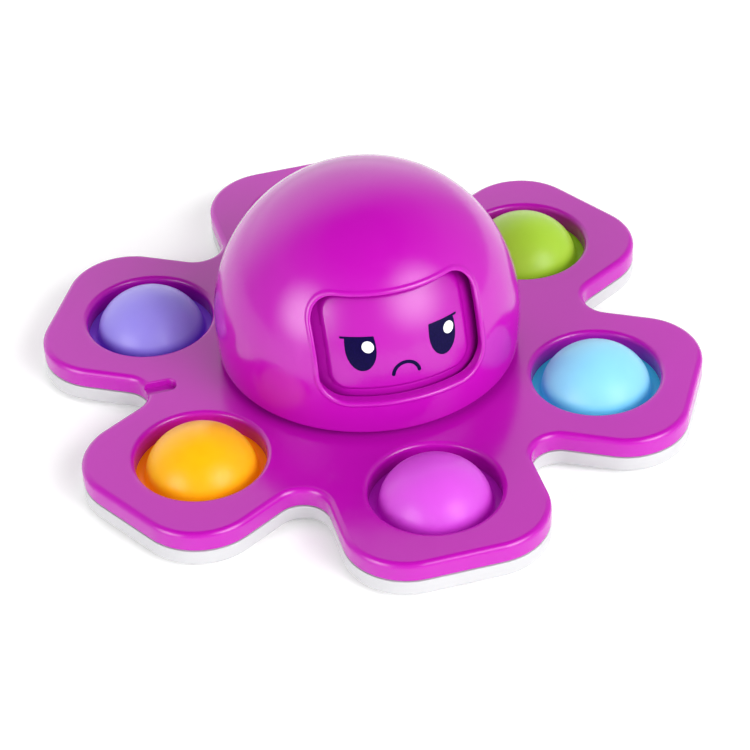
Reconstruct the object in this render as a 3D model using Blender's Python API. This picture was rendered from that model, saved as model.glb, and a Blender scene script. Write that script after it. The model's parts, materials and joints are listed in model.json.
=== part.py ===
"""Six-armed spinner with a push bubble in each arm and an octopus head whose face can be changed.

Two star shells clamp six silicone bubbles and a 608-size ball bearing, and spin round a fixed hub.
The hub carries the head: a dome with a window, and inside it a drum with four faces. The drum sits
on a spindle that runs down through the hub to the finger pad, so turning the pad changes the face.

Frame: origin at the centre of the finger pad's underside, +Z up, the window faces -Y.
Lengths are in metres, written as millimetres times MM.
"""

import math

import bmesh
import bpy
from mathutils import Matrix, Vector

MM = 0.001

# Star outline
ARMS = 6
TIP = 62.5 * MM  # centre to the flat outer end of an arm
ARM_HALF_WIDTH = 19.0 * MM
ARM_CORNER = 12.0 * MM
NOTCH_RADIUS = 5.2 * MM
NOTCH_CENTRE = 48.4 * MM
FIRST_ARM_DEG = 30.0
HOLE_CIRCLE = 43.75 * MM
COLOURS = {
    "green": (0.38, 0.68, 0.05),
    "yellow": (0.95, 0.75, 0.06),
    "lavender": (0.36, 0.30, 0.80),
    "orange": (0.95, 0.42, 0.02),
    "pink": (0.72, 0.08, 0.80),
    "blue": (0.25, 0.65, 0.85),
}  # by arm, anticlockwise from FIRST_ARM_DEG

# Heights of the star
PLATE_BOTTOM = 1.0 * MM
BOTTOM_SKIN_TOP = 2.5 * MM
BOTTOM_SEAM = 4.35 * MM
TOP_SEAM = 4.65 * MM
TOP_SKIN_BOTTOM = 6.8 * MM
PLATE_TOP = 8.4 * MM
SHELL_WALL = 1.6 * MM
TOP_FILLET = 1.2 * MM
BOTTOM_FILLET = 1.0 * MM

# Bubble openings and bubbles
RIM_RADIUS = 13.07 * MM
RIM_FILLET = 1.0 * MM
HOLE_RADIUS = RIM_RADIUS - RIM_FILLET
COLLAR_RADIUS = 14.8 * MM
COLLAR_TOP = 3.2 * MM
LIP_BOTTOM = 4.75 * MM
FLANGE_BOTTOM, FLANGE_TOP = 3.5 * MM, 4.5 * MM
FLANGE_RADIUS = 14.3 * MM
BUBBLE_RADIUS = 10.4 * MM
BUBBLE_WALL = 1.1 * MM
BUBBLE_APEX = 13.4 * MM
CROWN_RADIUS = 4.5 * MM
CROWN_BOTTOM = 12.1 * MM

# Screws: head radius, head height, shank radius and length, and where the head's drive face lies
CASE_SCREW = (2.0 * MM, 1.2 * MM, 0.95 * MM, 6.0 * MM)
CASE_SCREW_FACE = 1.35 * MM
BASE_SCREW = (1.9 * MM, 0.7 * MM, 0.55 * MM, 3.4 * MM)
BASE_SCREW_FACE = 9.95 * MM
DRUM_SCREW = (2.3 * MM, 1.2 * MM, 0.9 * MM, 9.2 * MM)
DRUM_SCREW_FACE = 42.7 * MM

# Places of the case screws
CASE_SCREW_CIRCLE = 33.0 * MM
WELL_RADIUS = 2.3 * MM
WELL_TOP = 2.8 * MM
BOSS_RADIUS = 3.3 * MM
TOP_BOSS_RADIUS = 2.8 * MM
SCREW_HOLE = 1.25 * MM
PILOT_TOP = 7.6 * MM

# Groove in the top shell, in the notch on the -X side
GROOVE_DEG = 180.0
GROOVE_INNER = 37.6 * MM
GROOVE_WIDTH = 3.2 * MM
GROOVE_FLOOR = 7.1 * MM
GROOVE_WALL = 0.6 * MM

# Ball bearing, 608 size: 8 x 22 x 7
BEARING_BOTTOM = 1.9 * MM
BEARING_WIDTH = 7.0 * MM
BEARING_BORE = 4.0 * MM
BEARING_OUTER = 11.0 * MM
INNER_LAND, OUTER_LAND = 6.1 * MM, 8.9 * MM
BALLS = 7
BALL_RADIUS = 1.985 * MM
BALL_CIRCLE = 7.5 * MM
TRACK_RADIUS = 2.2 * MM
CAGE_HALF_WIDTH = 0.7 * MM
CAGE_THICKNESS = 0.8 * MM
PRONG_HALF_WIDTH = 0.9 * MM
PRONG_DROP = 0.8 * MM  # below the bearing's middle plane
PRONG_INSET = 0.1 * MM
BEARING_TOP = BEARING_BOTTOM + BEARING_WIDTH
BEARING_MIDDLE = BEARING_BOTTOM + BEARING_WIDTH / 2
SEAT_RADIUS = 11.25 * MM
SEAT_WALL_RADIUS = 13.4 * MM
SEAT_WALL_TOP = 7.3 * MM

# Raised hub of the top shell, under the head
HUB_RADIUS = 15.5 * MM
HUB_TOP = 10.1 * MM
HUB_LIP_RADIUS = 9.8 * MM
HUB_LIP_BOTTOM = 9.2 * MM
HUB_SKIRT_BOTTOM = 5.5 * MM

# Head
HEAD_RADIUS = 28.7 * MM
HEAD_CENTRE = 17.05 * MM
HEAD_WALL = 2.0 * MM
SKIRT_BOTTOM = 9.6 * MM
SKIRT_RADIUS = 28.2 * MM
SKIRT_INNER = 26.7 * MM
SKIRT_ROUND = 0.6 * MM
WINDOW_HALF_WIDTH = 15.2 * MM
WINDOW_BOTTOM, WINDOW_TOP = 17.0 * MM, 35.7 * MM
WINDOW_CORNER = 4.8 * MM
LUG_DEGREES = (90.0, 210.0, 330.0)
LUG_CIRCLE = 23.6 * MM
LUG_BOTTOM, LUG_TOP = 11.75 * MM, 14.3 * MM
LUG_HALF_SIZE = 2.6 * MM
LUG_PILOT_RADIUS = 0.85 * MM
LUG_PILOT_ROOF = 0.6 * MM

# Base of the head and the sleeve that carries the bearing
BASE_RADIUS = 26.2 * MM
BASE_BOTTOM, BASE_TOP = 9.9 * MM, 11.4 * MM
BASE_RAISED_RADIUS = 17.0 * MM
BASE_RAISED_BOTTOM, BASE_RAISED_TOP = 10.7 * MM, 12.2 * MM
BASE_STEP = 0.8 * MM  # run of the slope between the raised middle and the rest
BASE_WELL_RADIUS, BASE_WELL_TOP = 2.2 * MM, 10.8 * MM
BASE_SCREW_HOLE = 0.95 * MM
SLEEVE_RADIUS = 3.75 * MM
SLEEVE_BORE = 2.65 * MM
SLEEVE_BOTTOM, SLEEVE_TOP = 1.95 * MM, 12.9 * MM
SHOULDER_RADIUS = 5.6 * MM
SHOULDER_BOTTOM = 9.15 * MM

# Detent: an index wheel with a notch for each face, and a leaf spring whose nose drops into them
FACES = 4
WHEEL_RADIUS = 9.0 * MM
WHEEL_BOTTOM, WHEEL_TOP = 13.2 * MM, 15.6 * MM
NOSE_CIRCLE = 9.6 * MM
NOSE_RADIUS = 1.5 * MM
WHEEL_NOTCH_RADIUS = 1.85 * MM
LEAF_THICKNESS = 0.4 * MM
LEAF_LINE = 11.0 * MM  # the leaf's wheel side
LEAF_START, LEAF_END = -12.0 * MM, 3.0 * MM
LEAF_BOTTOM, LEAF_TOP = 13.4 * MM, 15.4 * MM
POST_START, POST_END = -13.0 * MM, -9.0 * MM
POST_WALL = 1.0 * MM
POST_BOTTOM, POST_TOP = 11.3 * MM, 16.2 * MM

# Face drum, spindle and finger pad
DRUM_RADIUS = 26.2 * MM
DRUM_WALL = 1.4 * MM
DRUM_BOTTOM = 14.8 * MM
DRUM_HUB_RADIUS = 5.0 * MM
DRUM_HUB_BOTTOM = 29.3 * MM
DRUM_HUB_BORE_TOP = 38.3 * MM
DRUM_WELL_RADIUS, DRUM_WELL_BOTTOM = 2.7 * MM, 41.2 * MM
SPINDLE_RADIUS = 2.35 * MM
SPINDLE_BOTTOM, SPINDLE_TOP = 1.75 * MM, 38.0 * MM
SPINDLE_FLANGE_RADIUS = 4.2 * MM
SPINDLE_FLANGE_BOTTOM, SPINDLE_FLANGE_TOP = 28.0 * MM, 29.0 * MM
SPINDLE_PILOT_BOTTOM = 33.0 * MM
PAD_RADIUS = 12.0 * MM
PAD_TOP = 1.4 * MM
PAD_RECESS_RADIUS, PAD_RECESS_TOP = 13.2 * MM, 1.7 * MM
PAD_STUB_RADIUS, PAD_STUB_TOP = 1.3 * MM, 6.0 * MM
PAD_DISH_RADIUS, PAD_DISH_DEPTH = 7.5 * MM, 0.5 * MM
PAD_EDGE = 0.9 * MM
PAD_BOSS = 0.2 * MM

# Facets round a full turn, and clearances
FINE, MEDIUM, COARSE = 32, 18, 9
GAP = 0.3 * MM
THROUGH = 2.0 * MM  # how far a cutter passes the face it opens


def material(name, colour, roughness=0.35, metallic=0.0):
    made = bpy.data.materials.new(name)
    made.use_nodes = True
    shader = made.node_tree.nodes["Principled BSDF"]
    shader.inputs["Base Color"].default_value = (*colour, 1.0)
    shader.inputs["Roughness"].default_value = roughness
    shader.inputs["Metallic"].default_value = metallic
    return made


def spot(radius, degrees, height=0.0):
    angle = math.radians(degrees)
    return (radius * math.cos(angle), radius * math.sin(angle), height)


def arc(centre, radius, start_deg, end_deg, segments):
    """Points from start_deg to end_deg, both included."""
    turn = (end_deg - start_deg) / segments
    angles = [math.radians(start_deg + turn * i) for i in range(segments + 1)]
    return [
        (centre[0] + radius * math.cos(a), centre[1] + radius * math.sin(a))
        for a in angles
    ]


def finished(mesh_name, bm):
    bmesh.ops.recalc_face_normals(bm, faces=bm.faces)
    mesh = bpy.data.meshes.new(mesh_name)
    bm.to_mesh(mesh)
    bm.free()
    mesh.shade_smooth()
    mesh.set_sharp_from_angle(angle=math.radians(30.0))
    return mesh


def add_turned(bm, profile, steps, centre=(0.0, 0.0)):
    """Adds the closed profile of (radius, z) turned about the vertical axis through centre."""
    rings = []
    for radius, z in profile:
        if radius == 0.0:
            rings.append([bm.verts.new((centre[0], centre[1], z))] * steps)
            continue
        turned = [spot(radius, 360.0 * i / steps, z) for i in range(steps)]
        rings.append([bm.verts.new((centre[0] + x, centre[1] + y, h)) for x, y, h in turned])
    for low, high in zip(rings, rings[1:] + rings[:1]):
        for i in range(steps):
            corners = (low[i], low[(i + 1) % steps], high[(i + 1) % steps], high[i])
            loop = [v for n, v in enumerate(corners) if v is not corners[n - 1]]
            if len(loop) > 2:
                bm.faces.new(loop)


def turned(name, profile, steps):
    bm = bmesh.new()
    add_turned(bm, profile, steps)
    return finished(name, bm)


def add_layers(bm, layers):
    """Adds a solid from stacked outlines of equal length, closed by a flat cap at each end."""
    rows = [[bm.verts.new(point) for point in layer] for layer in layers]
    for low, high in zip(rows, rows[1:]):
        for i in range(len(low)):
            j = (i + 1) % len(low)
            bm.faces.new((low[i], low[j], high[j], high[i]))
    bm.faces.new(rows[0])
    bm.faces.new(rows[-1])


def add_cylinder(bm, radius, bottom, top, steps, centre=(0.0, 0.0)):
    profile = [(0.0, bottom), (radius, bottom), (radius, top), (0.0, top)]
    add_turned(bm, profile, steps, centre)


def add_box(bm, low, high, turn_deg=0.0):
    """Adds a box given by two corners, turned about the Z axis of the frame."""
    made = bmesh.ops.create_cube(bm, size=1.0)["verts"]
    size = [b - a for a, b in zip(low, high)]
    middle = [(a + b) / 2 for a, b in zip(low, high)]
    bmesh.ops.scale(bm, vec=size, verts=made)
    bmesh.ops.translate(bm, vec=middle, verts=made)
    bmesh.ops.rotate(bm, matrix=Matrix.Rotation(math.radians(turn_deg), 3, "Z"), verts=made)


def place(name, data, look, parent, location=(0.0, 0.0, 0.0), turn_deg=0.0):
    obj = bpy.data.objects.new(name, data)
    bpy.context.scene.collection.objects.link(obj)
    if look is not None and not data.materials:
        data.materials.append(look)
    obj.parent = parent
    obj.location = location
    obj.rotation_euler = (0.0, 0.0, math.radians(turn_deg))
    return obj


def axis(name, location=(0.0, 0.0, 0.0), parent=None):
    """An empty on a joint's axis."""
    return place(name, None, None, parent, location)


def helper(name, bm):
    """A hidden mesh that a Boolean uses."""
    obj = place(name, finished(name, bm), None, None)
    obj.hide_render = True
    obj.display_type = "WIRE"
    return obj


def boolean(obj, operation, other):
    modifier = obj.modifiers.new(other.name, "BOOLEAN")
    modifier.operation = operation
    modifier.solver = "EXACT"
    modifier.object = other


def applied(name, bm, operation, other):
    """The mesh of bm with one Boolean applied, for copies that share it."""
    obj = place(name, finished(name, bm), None, None)
    boolean(obj, operation, other)
    bpy.context.view_layer.update()
    graph = bpy.context.evaluated_depsgraph_get()
    mesh = bpy.data.meshes.new_from_object(obj.evaluated_get(graph))
    bpy.data.objects.remove(obj)
    return mesh


def arm_angles():
    return [FIRST_ARM_DEG + 360.0 / ARMS * i for i in range(ARMS)]


def notch_angles():
    return [angle + 180.0 / ARMS for angle in arm_angles()]


def star(inset, z):
    """The star's outline moved inwards by inset, at height z."""
    points = []
    along = TIP - ARM_CORNER
    aside = ARM_HALF_WIDTH - ARM_CORNER
    for angle in arm_angles():
        for side in (-1, 1):
            centre = Matrix.Rotation(math.radians(angle), 2) @ Vector((along, side * aside))
            start = angle - 90.0 if side < 0 else angle
            points += arc(centre, ARM_CORNER - inset, start, start + 90.0, 4)
        notch = spot(NOTCH_CENTRE, angle + 180.0 / ARMS)
        points += arc(notch[:2], NOTCH_RADIUS + inset, angle + 270.0, angle + 150.0, 4)
    return [(x, y, z) for x, y in points]


def rounded_star(fillet, edge, side):
    """Layers of a star from side to edge in height, with a fillet at the edge."""
    towards = 1 if edge > side else -1
    layers = [star(0.0, side), star(0.0, edge - towards * fillet)]
    for degrees in (45.0, 90.0):
        a = math.radians(degrees)
        inset = fillet * (1 - math.cos(a))
        layers.append(star(inset, edge - towards * fillet * (1 - math.sin(a))))
    return layers


def star_cavity(name, bottom, top):
    bm = bmesh.new()
    add_layers(bm, [star(SHELL_WALL, bottom), star(SHELL_WALL, top)])
    return helper(name, bm)


def make_top_shell(look, parent):
    bm = bmesh.new()
    add_layers(bm, rounded_star(TOP_FILLET, PLATE_TOP, TOP_SEAM))
    shell = place("top_shell", finished("top_shell", bm), look, parent)

    cavity = star_cavity("top_cavity", TOP_SEAM - THROUGH, TOP_SKIN_BOTTOM)

    added = bmesh.new()
    into_skin = (TOP_SKIN_BOTTOM + PLATE_TOP) / 2
    for angle in arm_angles():
        centre = spot(HOLE_CIRCLE, angle)
        add_cylinder(added, COLLAR_RADIUS, LIP_BOTTOM, into_skin, MEDIUM, centre)
    for angle in notch_angles():
        centre = spot(CASE_SCREW_CIRCLE, angle)
        add_cylinder(added, TOP_BOSS_RADIUS, TOP_SEAM, into_skin, COARSE, centre)
    add_cylinder(added, HUB_RADIUS, HUB_SKIRT_BOTTOM, HUB_TOP, MEDIUM)
    pad_low = (GROOVE_INNER - GROOVE_WALL, -GROOVE_WIDTH, HUB_SKIRT_BOTTOM)
    pad_high = (NOTCH_CENTRE - NOTCH_RADIUS - SHELL_WALL / 2, GROOVE_WIDTH, into_skin)
    add_box(added, pad_low, pad_high, GROOVE_DEG)

    cut = bmesh.new()
    for angle in arm_angles():
        edge = arc((0.0, 0.0), RIM_FILLET, 180.0, 90.0, 2)
        corner = [(RIM_RADIUS + x, PLATE_TOP - RIM_FILLET + z) for x, z in edge]
        low = LIP_BOTTOM - THROUGH
        high = PLATE_TOP + THROUGH
        profile = [(0.0, low), (HOLE_RADIUS, low), *corner, (RIM_RADIUS, high), (0.0, high)]
        add_turned(cut, profile, MEDIUM, spot(HOLE_CIRCLE, angle))
    for angle in notch_angles():
        centre = spot(CASE_SCREW_CIRCLE, angle)
        add_cylinder(cut, SCREW_HOLE, TOP_SEAM - THROUGH, PILOT_TOP, COARSE, centre)
    hub = [
        (0.0, HUB_SKIRT_BOTTOM - THROUGH),
        (SEAT_WALL_RADIUS + GAP, HUB_SKIRT_BOTTOM - THROUGH),
        (SEAT_WALL_RADIUS + GAP, SEAT_WALL_TOP + GAP),
        (SEAT_RADIUS, SEAT_WALL_TOP + GAP),
        (SEAT_RADIUS, HUB_LIP_BOTTOM),
        (HUB_LIP_RADIUS, HUB_LIP_BOTTOM),
        (HUB_LIP_RADIUS, HUB_TOP + THROUGH),
        (0.0, HUB_TOP + THROUGH),
    ]
    add_turned(cut, hub, MEDIUM)
    add_groove(cut)

    boolean(shell, "DIFFERENCE", cavity)
    boolean(shell, "UNION", helper("top_shell_added", added))
    boolean(shell, "DIFFERENCE", helper("top_shell_cut", cut))
    return shell


def add_groove(bm):
    """A slot with a round inner end, open to the notch."""
    half = GROOVE_WIDTH / 2
    turn = Matrix.Rotation(math.radians(GROOVE_DEG), 2)
    outline = arc((GROOVE_INNER + half, 0.0), half, 90.0, 270.0, 6)
    outline += [(NOTCH_CENTRE, -half), (NOTCH_CENTRE, half)]
    points = [turn @ Vector(point) for point in outline]
    heights = (GROOVE_FLOOR, PLATE_TOP + THROUGH)
    add_layers(bm, [[(p.x, p.y, z) for p in points] for z in heights])


def make_bottom_shell(look, parent):
    bm = bmesh.new()
    add_layers(bm, rounded_star(BOTTOM_FILLET, PLATE_BOTTOM, BOTTOM_SEAM))
    shell = place("bottom_shell", finished("bottom_shell", bm), look, parent)

    cavity = star_cavity("bottom_cavity", BOTTOM_SKIN_TOP, BOTTOM_SEAM + THROUGH)

    added = bmesh.new()
    into_skin = (PLATE_BOTTOM + BOTTOM_SKIN_TOP) / 2
    for angle in arm_angles():
        centre = spot(HOLE_CIRCLE, angle)
        add_cylinder(added, COLLAR_RADIUS, into_skin, COLLAR_TOP, MEDIUM, centre)
    for angle in notch_angles():
        centre = spot(CASE_SCREW_CIRCLE, angle)
        add_cylinder(added, BOSS_RADIUS, into_skin, BOTTOM_SEAM, COARSE, centre)
    add_cylinder(added, SEAT_WALL_RADIUS, into_skin, SEAT_WALL_TOP, MEDIUM)

    cut = bmesh.new()
    low = PLATE_BOTTOM - THROUGH
    for angle in arm_angles():
        profile = [
            (0.0, low),
            (RIM_RADIUS, low),
            (RIM_RADIUS, PLATE_BOTTOM),
            (HOLE_RADIUS, PLATE_BOTTOM + RIM_FILLET),
            (HOLE_RADIUS, COLLAR_TOP + THROUGH),
            (0.0, COLLAR_TOP + THROUGH),
        ]
        add_turned(cut, profile, MEDIUM, spot(HOLE_CIRCLE, angle))
    for angle in notch_angles():
        profile = [
            (0.0, low),
            (WELL_RADIUS, low),
            (WELL_RADIUS, WELL_TOP),
            (SCREW_HOLE, WELL_TOP),
            (SCREW_HOLE, BOTTOM_SEAM + THROUGH),
            (0.0, BOTTOM_SEAM + THROUGH),
        ]
        add_turned(cut, profile, COARSE, spot(CASE_SCREW_CIRCLE, angle))
    seat = [
        (0.0, low),
        (PAD_RECESS_RADIUS, low),
        (PAD_RECESS_RADIUS, PAD_RECESS_TOP),
        (SEAT_RADIUS, PAD_RECESS_TOP),
        (SEAT_RADIUS, SEAT_WALL_TOP + THROUGH),
        (0.0, SEAT_WALL_TOP + THROUGH),
    ]
    add_turned(cut, seat, MEDIUM)

    boolean(shell, "DIFFERENCE", cavity)
    boolean(shell, "UNION", helper("bottom_shell_added", added))
    boolean(shell, "DIFFERENCE", helper("bottom_shell_cut", cut))
    return shell


def screw_mesh(name, sizes):
    """A cross-head screw that points up from its drive face at z = 0."""
    head_radius, head_height, shank_radius, length = sizes
    body = bmesh.new()
    edge = head_height * 0.35
    profile = [
        (0.0, 0.0),
        (head_radius - edge, 0.0),
        (head_radius, edge),
        (head_radius, head_height),
        (shank_radius, head_height),
        (shank_radius, length - shank_radius),
        (0.0, length),
    ]
    add_turned(body, profile, COARSE)
    cross = bmesh.new()
    long, short = head_radius * 0.55, head_radius * 0.16
    corners = [(long, -short), (long, short), (short, short)]
    outline = [
        (x * c - y * s, x * s + y * c)
        for c, s in ((1, 0), (0, 1), (-1, 0), (0, -1))
        for x, y in corners
    ]
    heights = (-THROUGH, head_height * 0.6)
    add_layers(cross, [[(x, y, z) for x, y in outline] for z in heights])
    recess = helper(name + "_recess", cross)
    mesh = applied(name, body, "DIFFERENCE", recess)
    bpy.data.objects.remove(recess)
    return mesh


def make_case_screws(look, parent):
    mesh = screw_mesh("case_screw", CASE_SCREW)
    for number, angle in enumerate(notch_angles(), 1):
        where = spot(CASE_SCREW_CIRCLE, angle, CASE_SCREW_FACE)
        place(f"case_screw_{number}", mesh, look, parent, where)


def race_groove(sign):
    """The ball track's points from the bottom up, on the inner race for -1 or the outer for 1."""
    land = INNER_LAND if sign < 0 else OUTER_LAND
    half = math.degrees(math.acos((land - BALL_CIRCLE) * sign / TRACK_RADIUS))
    middle = 180.0 if sign < 0 else 0.0
    start, end = middle + sign * -half, middle + sign * half
    return arc((BALL_CIRCLE, BEARING_MIDDLE), TRACK_RADIUS, start, end, 4)


def make_bearing(steel, nylon, head, spinner, cage_axis):
    track = race_groove(-1)
    inner = [
        (BEARING_BORE, BEARING_BOTTOM),
        (INNER_LAND, BEARING_BOTTOM),
        *track,
        (INNER_LAND, BEARING_TOP),
        (BEARING_BORE, BEARING_TOP),
    ]
    place("bearing_inner_race", turned("inner_race", inner, MEDIUM), steel, head)
    outer = [
        (BEARING_OUTER, BEARING_BOTTOM),
        (OUTER_LAND, BEARING_BOTTOM),
        *race_groove(1),
        (OUTER_LAND, BEARING_TOP),
        (BEARING_OUTER, BEARING_TOP),
    ]
    place("bearing_outer_race", turned("outer_race", outer, MEDIUM), steel, spinner)

    bm = bmesh.new()
    bmesh.ops.create_uvsphere(bm, u_segments=10, v_segments=7, radius=BALL_RADIUS)
    ball = finished("bearing_ball", bm)
    for number in range(BALLS):
        where = spot(BALL_CIRCLE, 360.0 / BALLS * number, BEARING_MIDDLE)
        place(f"bearing_ball_{number + 1}", ball, steel, cage_axis, where)

    ring_bottom = BEARING_MIDDLE + BALL_RADIUS + GAP
    ring_top = ring_bottom + CAGE_THICKNESS
    inside, outside = BALL_CIRCLE - CAGE_HALF_WIDTH, BALL_CIRCLE + CAGE_HALF_WIDTH
    ring = turned(
        "bearing_cage",
        [(inside, ring_bottom), (outside, ring_bottom), (outside, ring_top), (inside, ring_top)],
        MEDIUM,
    )
    prongs = bmesh.new()
    for number in range(BALLS):
        low = (inside + PRONG_INSET, -PRONG_HALF_WIDTH, BEARING_MIDDLE - PRONG_DROP)
        high = (outside - PRONG_INSET, PRONG_HALF_WIDTH, (ring_bottom + ring_top) / 2)
        add_box(prongs, low, high, 360.0 / BALLS * (number + 0.5))
    cage = place("bearing_cage", ring, nylon, cage_axis)
    boolean(cage, "UNION", helper("cage_prongs", prongs))


def bubble_height(radius, inside):
    """Height of the bubble's dome at a radius, on its inner or outer side."""
    wall = BUBBLE_WALL if inside else 0.0
    rise = BUBBLE_APEX - wall - FLANGE_TOP
    return FLANGE_TOP + rise * math.sqrt(1 - (radius / (BUBBLE_RADIUS - wall)) ** 2)


def dome_radii(edge, hole, count):
    """Radii from just inside the dome's edge to the hole, closer together where it is steep."""
    last = math.acos(hole / edge)
    return [edge * math.cos(last * i / count) for i in range(1, count + 1)]


def make_bubbles(looks, spinner):
    """Each bubble is a flanged web that flexes and the crown that a finger pushes."""
    hole = CROWN_RADIUS + GAP
    outer_radii = dome_radii(BUBBLE_RADIUS, hole, 4)
    inner_radii = dome_radii(BUBBLE_RADIUS - BUBBLE_WALL, hole, 3)[::-1]
    web = turned(
        "bubble_web",
        [
            (FLANGE_RADIUS, FLANGE_BOTTOM),
            (FLANGE_RADIUS, FLANGE_TOP),
            (BUBBLE_RADIUS, FLANGE_TOP),
            *[(r, bubble_height(r, False)) for r in outer_radii],
            *[(r, bubble_height(r, True)) for r in inner_radii],
            (BUBBLE_RADIUS - BUBBLE_WALL, FLANGE_TOP),
            (BUBBLE_RADIUS - BUBBLE_WALL, FLANGE_BOTTOM),
        ],
        MEDIUM,
    )
    crown = turned(
        "bubble_crown",
        [
            (0.0, CROWN_BOTTOM),
            (CROWN_RADIUS, CROWN_BOTTOM),
            (CROWN_RADIUS, bubble_height(CROWN_RADIUS, False)),
            (CROWN_RADIUS * 0.6, bubble_height(CROWN_RADIUS * 0.6, False)),
            (0.0, BUBBLE_APEX),
        ],
        COARSE,
    )
    for (colour, look), angle in zip(looks.items(), arm_angles()):
        where = spot(HOLE_CIRCLE, angle)
        web_obj = place(f"bubble_web_{colour}", web.copy(), look, spinner, where)
        web_obj.data.name = web_obj.name
        travel = axis(f"bubble_axis_{colour}", where, spinner)
        place(f"bubble_crown_{colour}", crown.copy(), look, travel)


def head_profile(radius, skirt, bottom, steps):
    """Outer or inner line of the head from the pole down: a hemisphere and a skirt below it."""
    dome = arc((0.0, HEAD_CENTRE), radius, 90.0, 0.0, steps)
    return [(0.0, dome[0][1]), *dome[1:], (skirt, bottom)]


def make_head_shell(look, parent):
    outer = head_profile(HEAD_RADIUS, SKIRT_RADIUS, SKIRT_BOTTOM + 2 * SKIRT_ROUND, 9)
    inner = head_profile(HEAD_RADIUS - HEAD_WALL, SKIRT_INNER, SKIRT_BOTTOM, 12)
    edge = [
        (SKIRT_RADIUS - SKIRT_ROUND / 4, SKIRT_BOTTOM + SKIRT_ROUND),
        (SKIRT_RADIUS - SKIRT_ROUND, SKIRT_BOTTOM),
    ]
    profile = outer + edge + inner[::-1]
    shell = place("head_shell", turned("head_shell", profile, FINE), look, parent)

    lugs = bmesh.new()
    pilots = bmesh.new()
    for angle in LUG_DEGREES:
        low = (LUG_CIRCLE - LUG_HALF_SIZE, -LUG_HALF_SIZE, LUG_BOTTOM)
        high = ((SKIRT_RADIUS + SKIRT_INNER) / 2, LUG_HALF_SIZE, LUG_TOP)
        add_box(lugs, low, high, angle)
        ends = (LUG_BOTTOM - THROUGH, LUG_TOP - LUG_PILOT_ROOF)
        add_cylinder(pilots, LUG_PILOT_RADIUS, *ends, COARSE, spot(LUG_CIRCLE, angle))

    window = bmesh.new()
    corner = WINDOW_CORNER
    low, high = WINDOW_BOTTOM + corner, WINDOW_TOP - corner
    wide = WINDOW_HALF_WIDTH - corner
    outline = []
    for x, z, start in ((wide, high, 0.0), (-wide, high, 90.0), (-wide, low, 180.0), (wide, low, 270.0)):
        outline += arc((x, z), corner, start, start + 90.0, 4)
    depths = (-HEAD_RADIUS - THROUGH, -HEAD_RADIUS / 4)
    add_layers(window, [[(x, y, z) for x, z in outline] for y in depths])

    boolean(shell, "UNION", helper("head_lugs", lugs))
    boolean(shell, "DIFFERENCE", helper("head_pilots", pilots))
    boolean(shell, "DIFFERENCE", helper("head_window", window))


def make_head_base(look, parent):
    raised = BASE_RAISED_RADIUS
    profile = [
        (SLEEVE_BORE, SLEEVE_BOTTOM),
        (SLEEVE_RADIUS, SLEEVE_BOTTOM),
        (SLEEVE_RADIUS, SHOULDER_BOTTOM),
        (SHOULDER_RADIUS, SHOULDER_BOTTOM),
        (SHOULDER_RADIUS, BASE_RAISED_BOTTOM),
        (raised - BASE_STEP, BASE_RAISED_BOTTOM),
        (raised, BASE_BOTTOM),
        (BASE_RADIUS, BASE_BOTTOM),
        (BASE_RADIUS, BASE_TOP),
        (raised + BASE_STEP, BASE_TOP),
        (raised, BASE_RAISED_TOP),
        (SHOULDER_RADIUS, BASE_RAISED_TOP),
        (SHOULDER_RADIUS, SLEEVE_TOP),
        (SLEEVE_BORE, SLEEVE_TOP),
    ]
    base = place("head_base", turned("head_base", profile, MEDIUM), look, parent)

    near, far = LEAF_LINE - GAP, LEAF_LINE + LEAF_THICKNESS + GAP
    post = bmesh.new()
    low = (POST_START, near - POST_WALL, POST_BOTTOM)
    add_box(post, low, (POST_END, far + POST_WALL, POST_TOP))

    cut = bmesh.new()
    low = (LEAF_START - GAP, near, LEAF_BOTTOM - GAP)
    add_box(cut, low, (POST_END + THROUGH, far, POST_TOP + THROUGH))
    for angle in LUG_DEGREES:
        profile = [
            (0.0, BASE_BOTTOM - THROUGH),
            (BASE_WELL_RADIUS, BASE_BOTTOM - THROUGH),
            (BASE_WELL_RADIUS, BASE_WELL_TOP),
            (BASE_SCREW_HOLE, BASE_WELL_TOP),
            (BASE_SCREW_HOLE, BASE_TOP + THROUGH),
            (0.0, BASE_TOP + THROUGH),
        ]
        add_turned(cut, profile, COARSE, spot(LUG_CIRCLE, angle))
    boolean(base, "UNION", helper("leaf_post", post))
    boolean(base, "DIFFERENCE", helper("head_base_cut", cut))


def make_base_screws(look, parent):
    mesh = screw_mesh("base_screw", BASE_SCREW)
    for number, angle in enumerate(LUG_DEGREES, 1):
        where = spot(LUG_CIRCLE, angle, BASE_SCREW_FACE)
        place(f"base_screw_{number}", mesh, look, parent, where)


def make_detent_spring(look, parent):
    """A leaf held by one end in the post, with a U-shaped nose in the wheel's notch."""
    back = LEAF_LINE + LEAF_THICKNESS
    nose = (0.0, NOSE_CIRCLE)
    outline = [
        (LEAF_START, LEAF_LINE),
        (-NOSE_RADIUS, LEAF_LINE),
        *arc(nose, NOSE_RADIUS, 180.0, 360.0, 8),
        (NOSE_RADIUS, LEAF_LINE),
        (LEAF_END, LEAF_LINE),
        (LEAF_END, back),
        (NOSE_RADIUS - LEAF_THICKNESS, back),
        *arc(nose, NOSE_RADIUS - LEAF_THICKNESS, 360.0, 180.0, 8),
        (LEAF_THICKNESS - NOSE_RADIUS, back),
        (LEAF_START, back),
    ]
    bm = bmesh.new()
    add_layers(bm, [[(x, y, z) for x, y in outline] for z in (LEAF_BOTTOM, LEAF_TOP)])
    place("detent_spring", finished("detent_spring", bm), look, parent)


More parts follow.
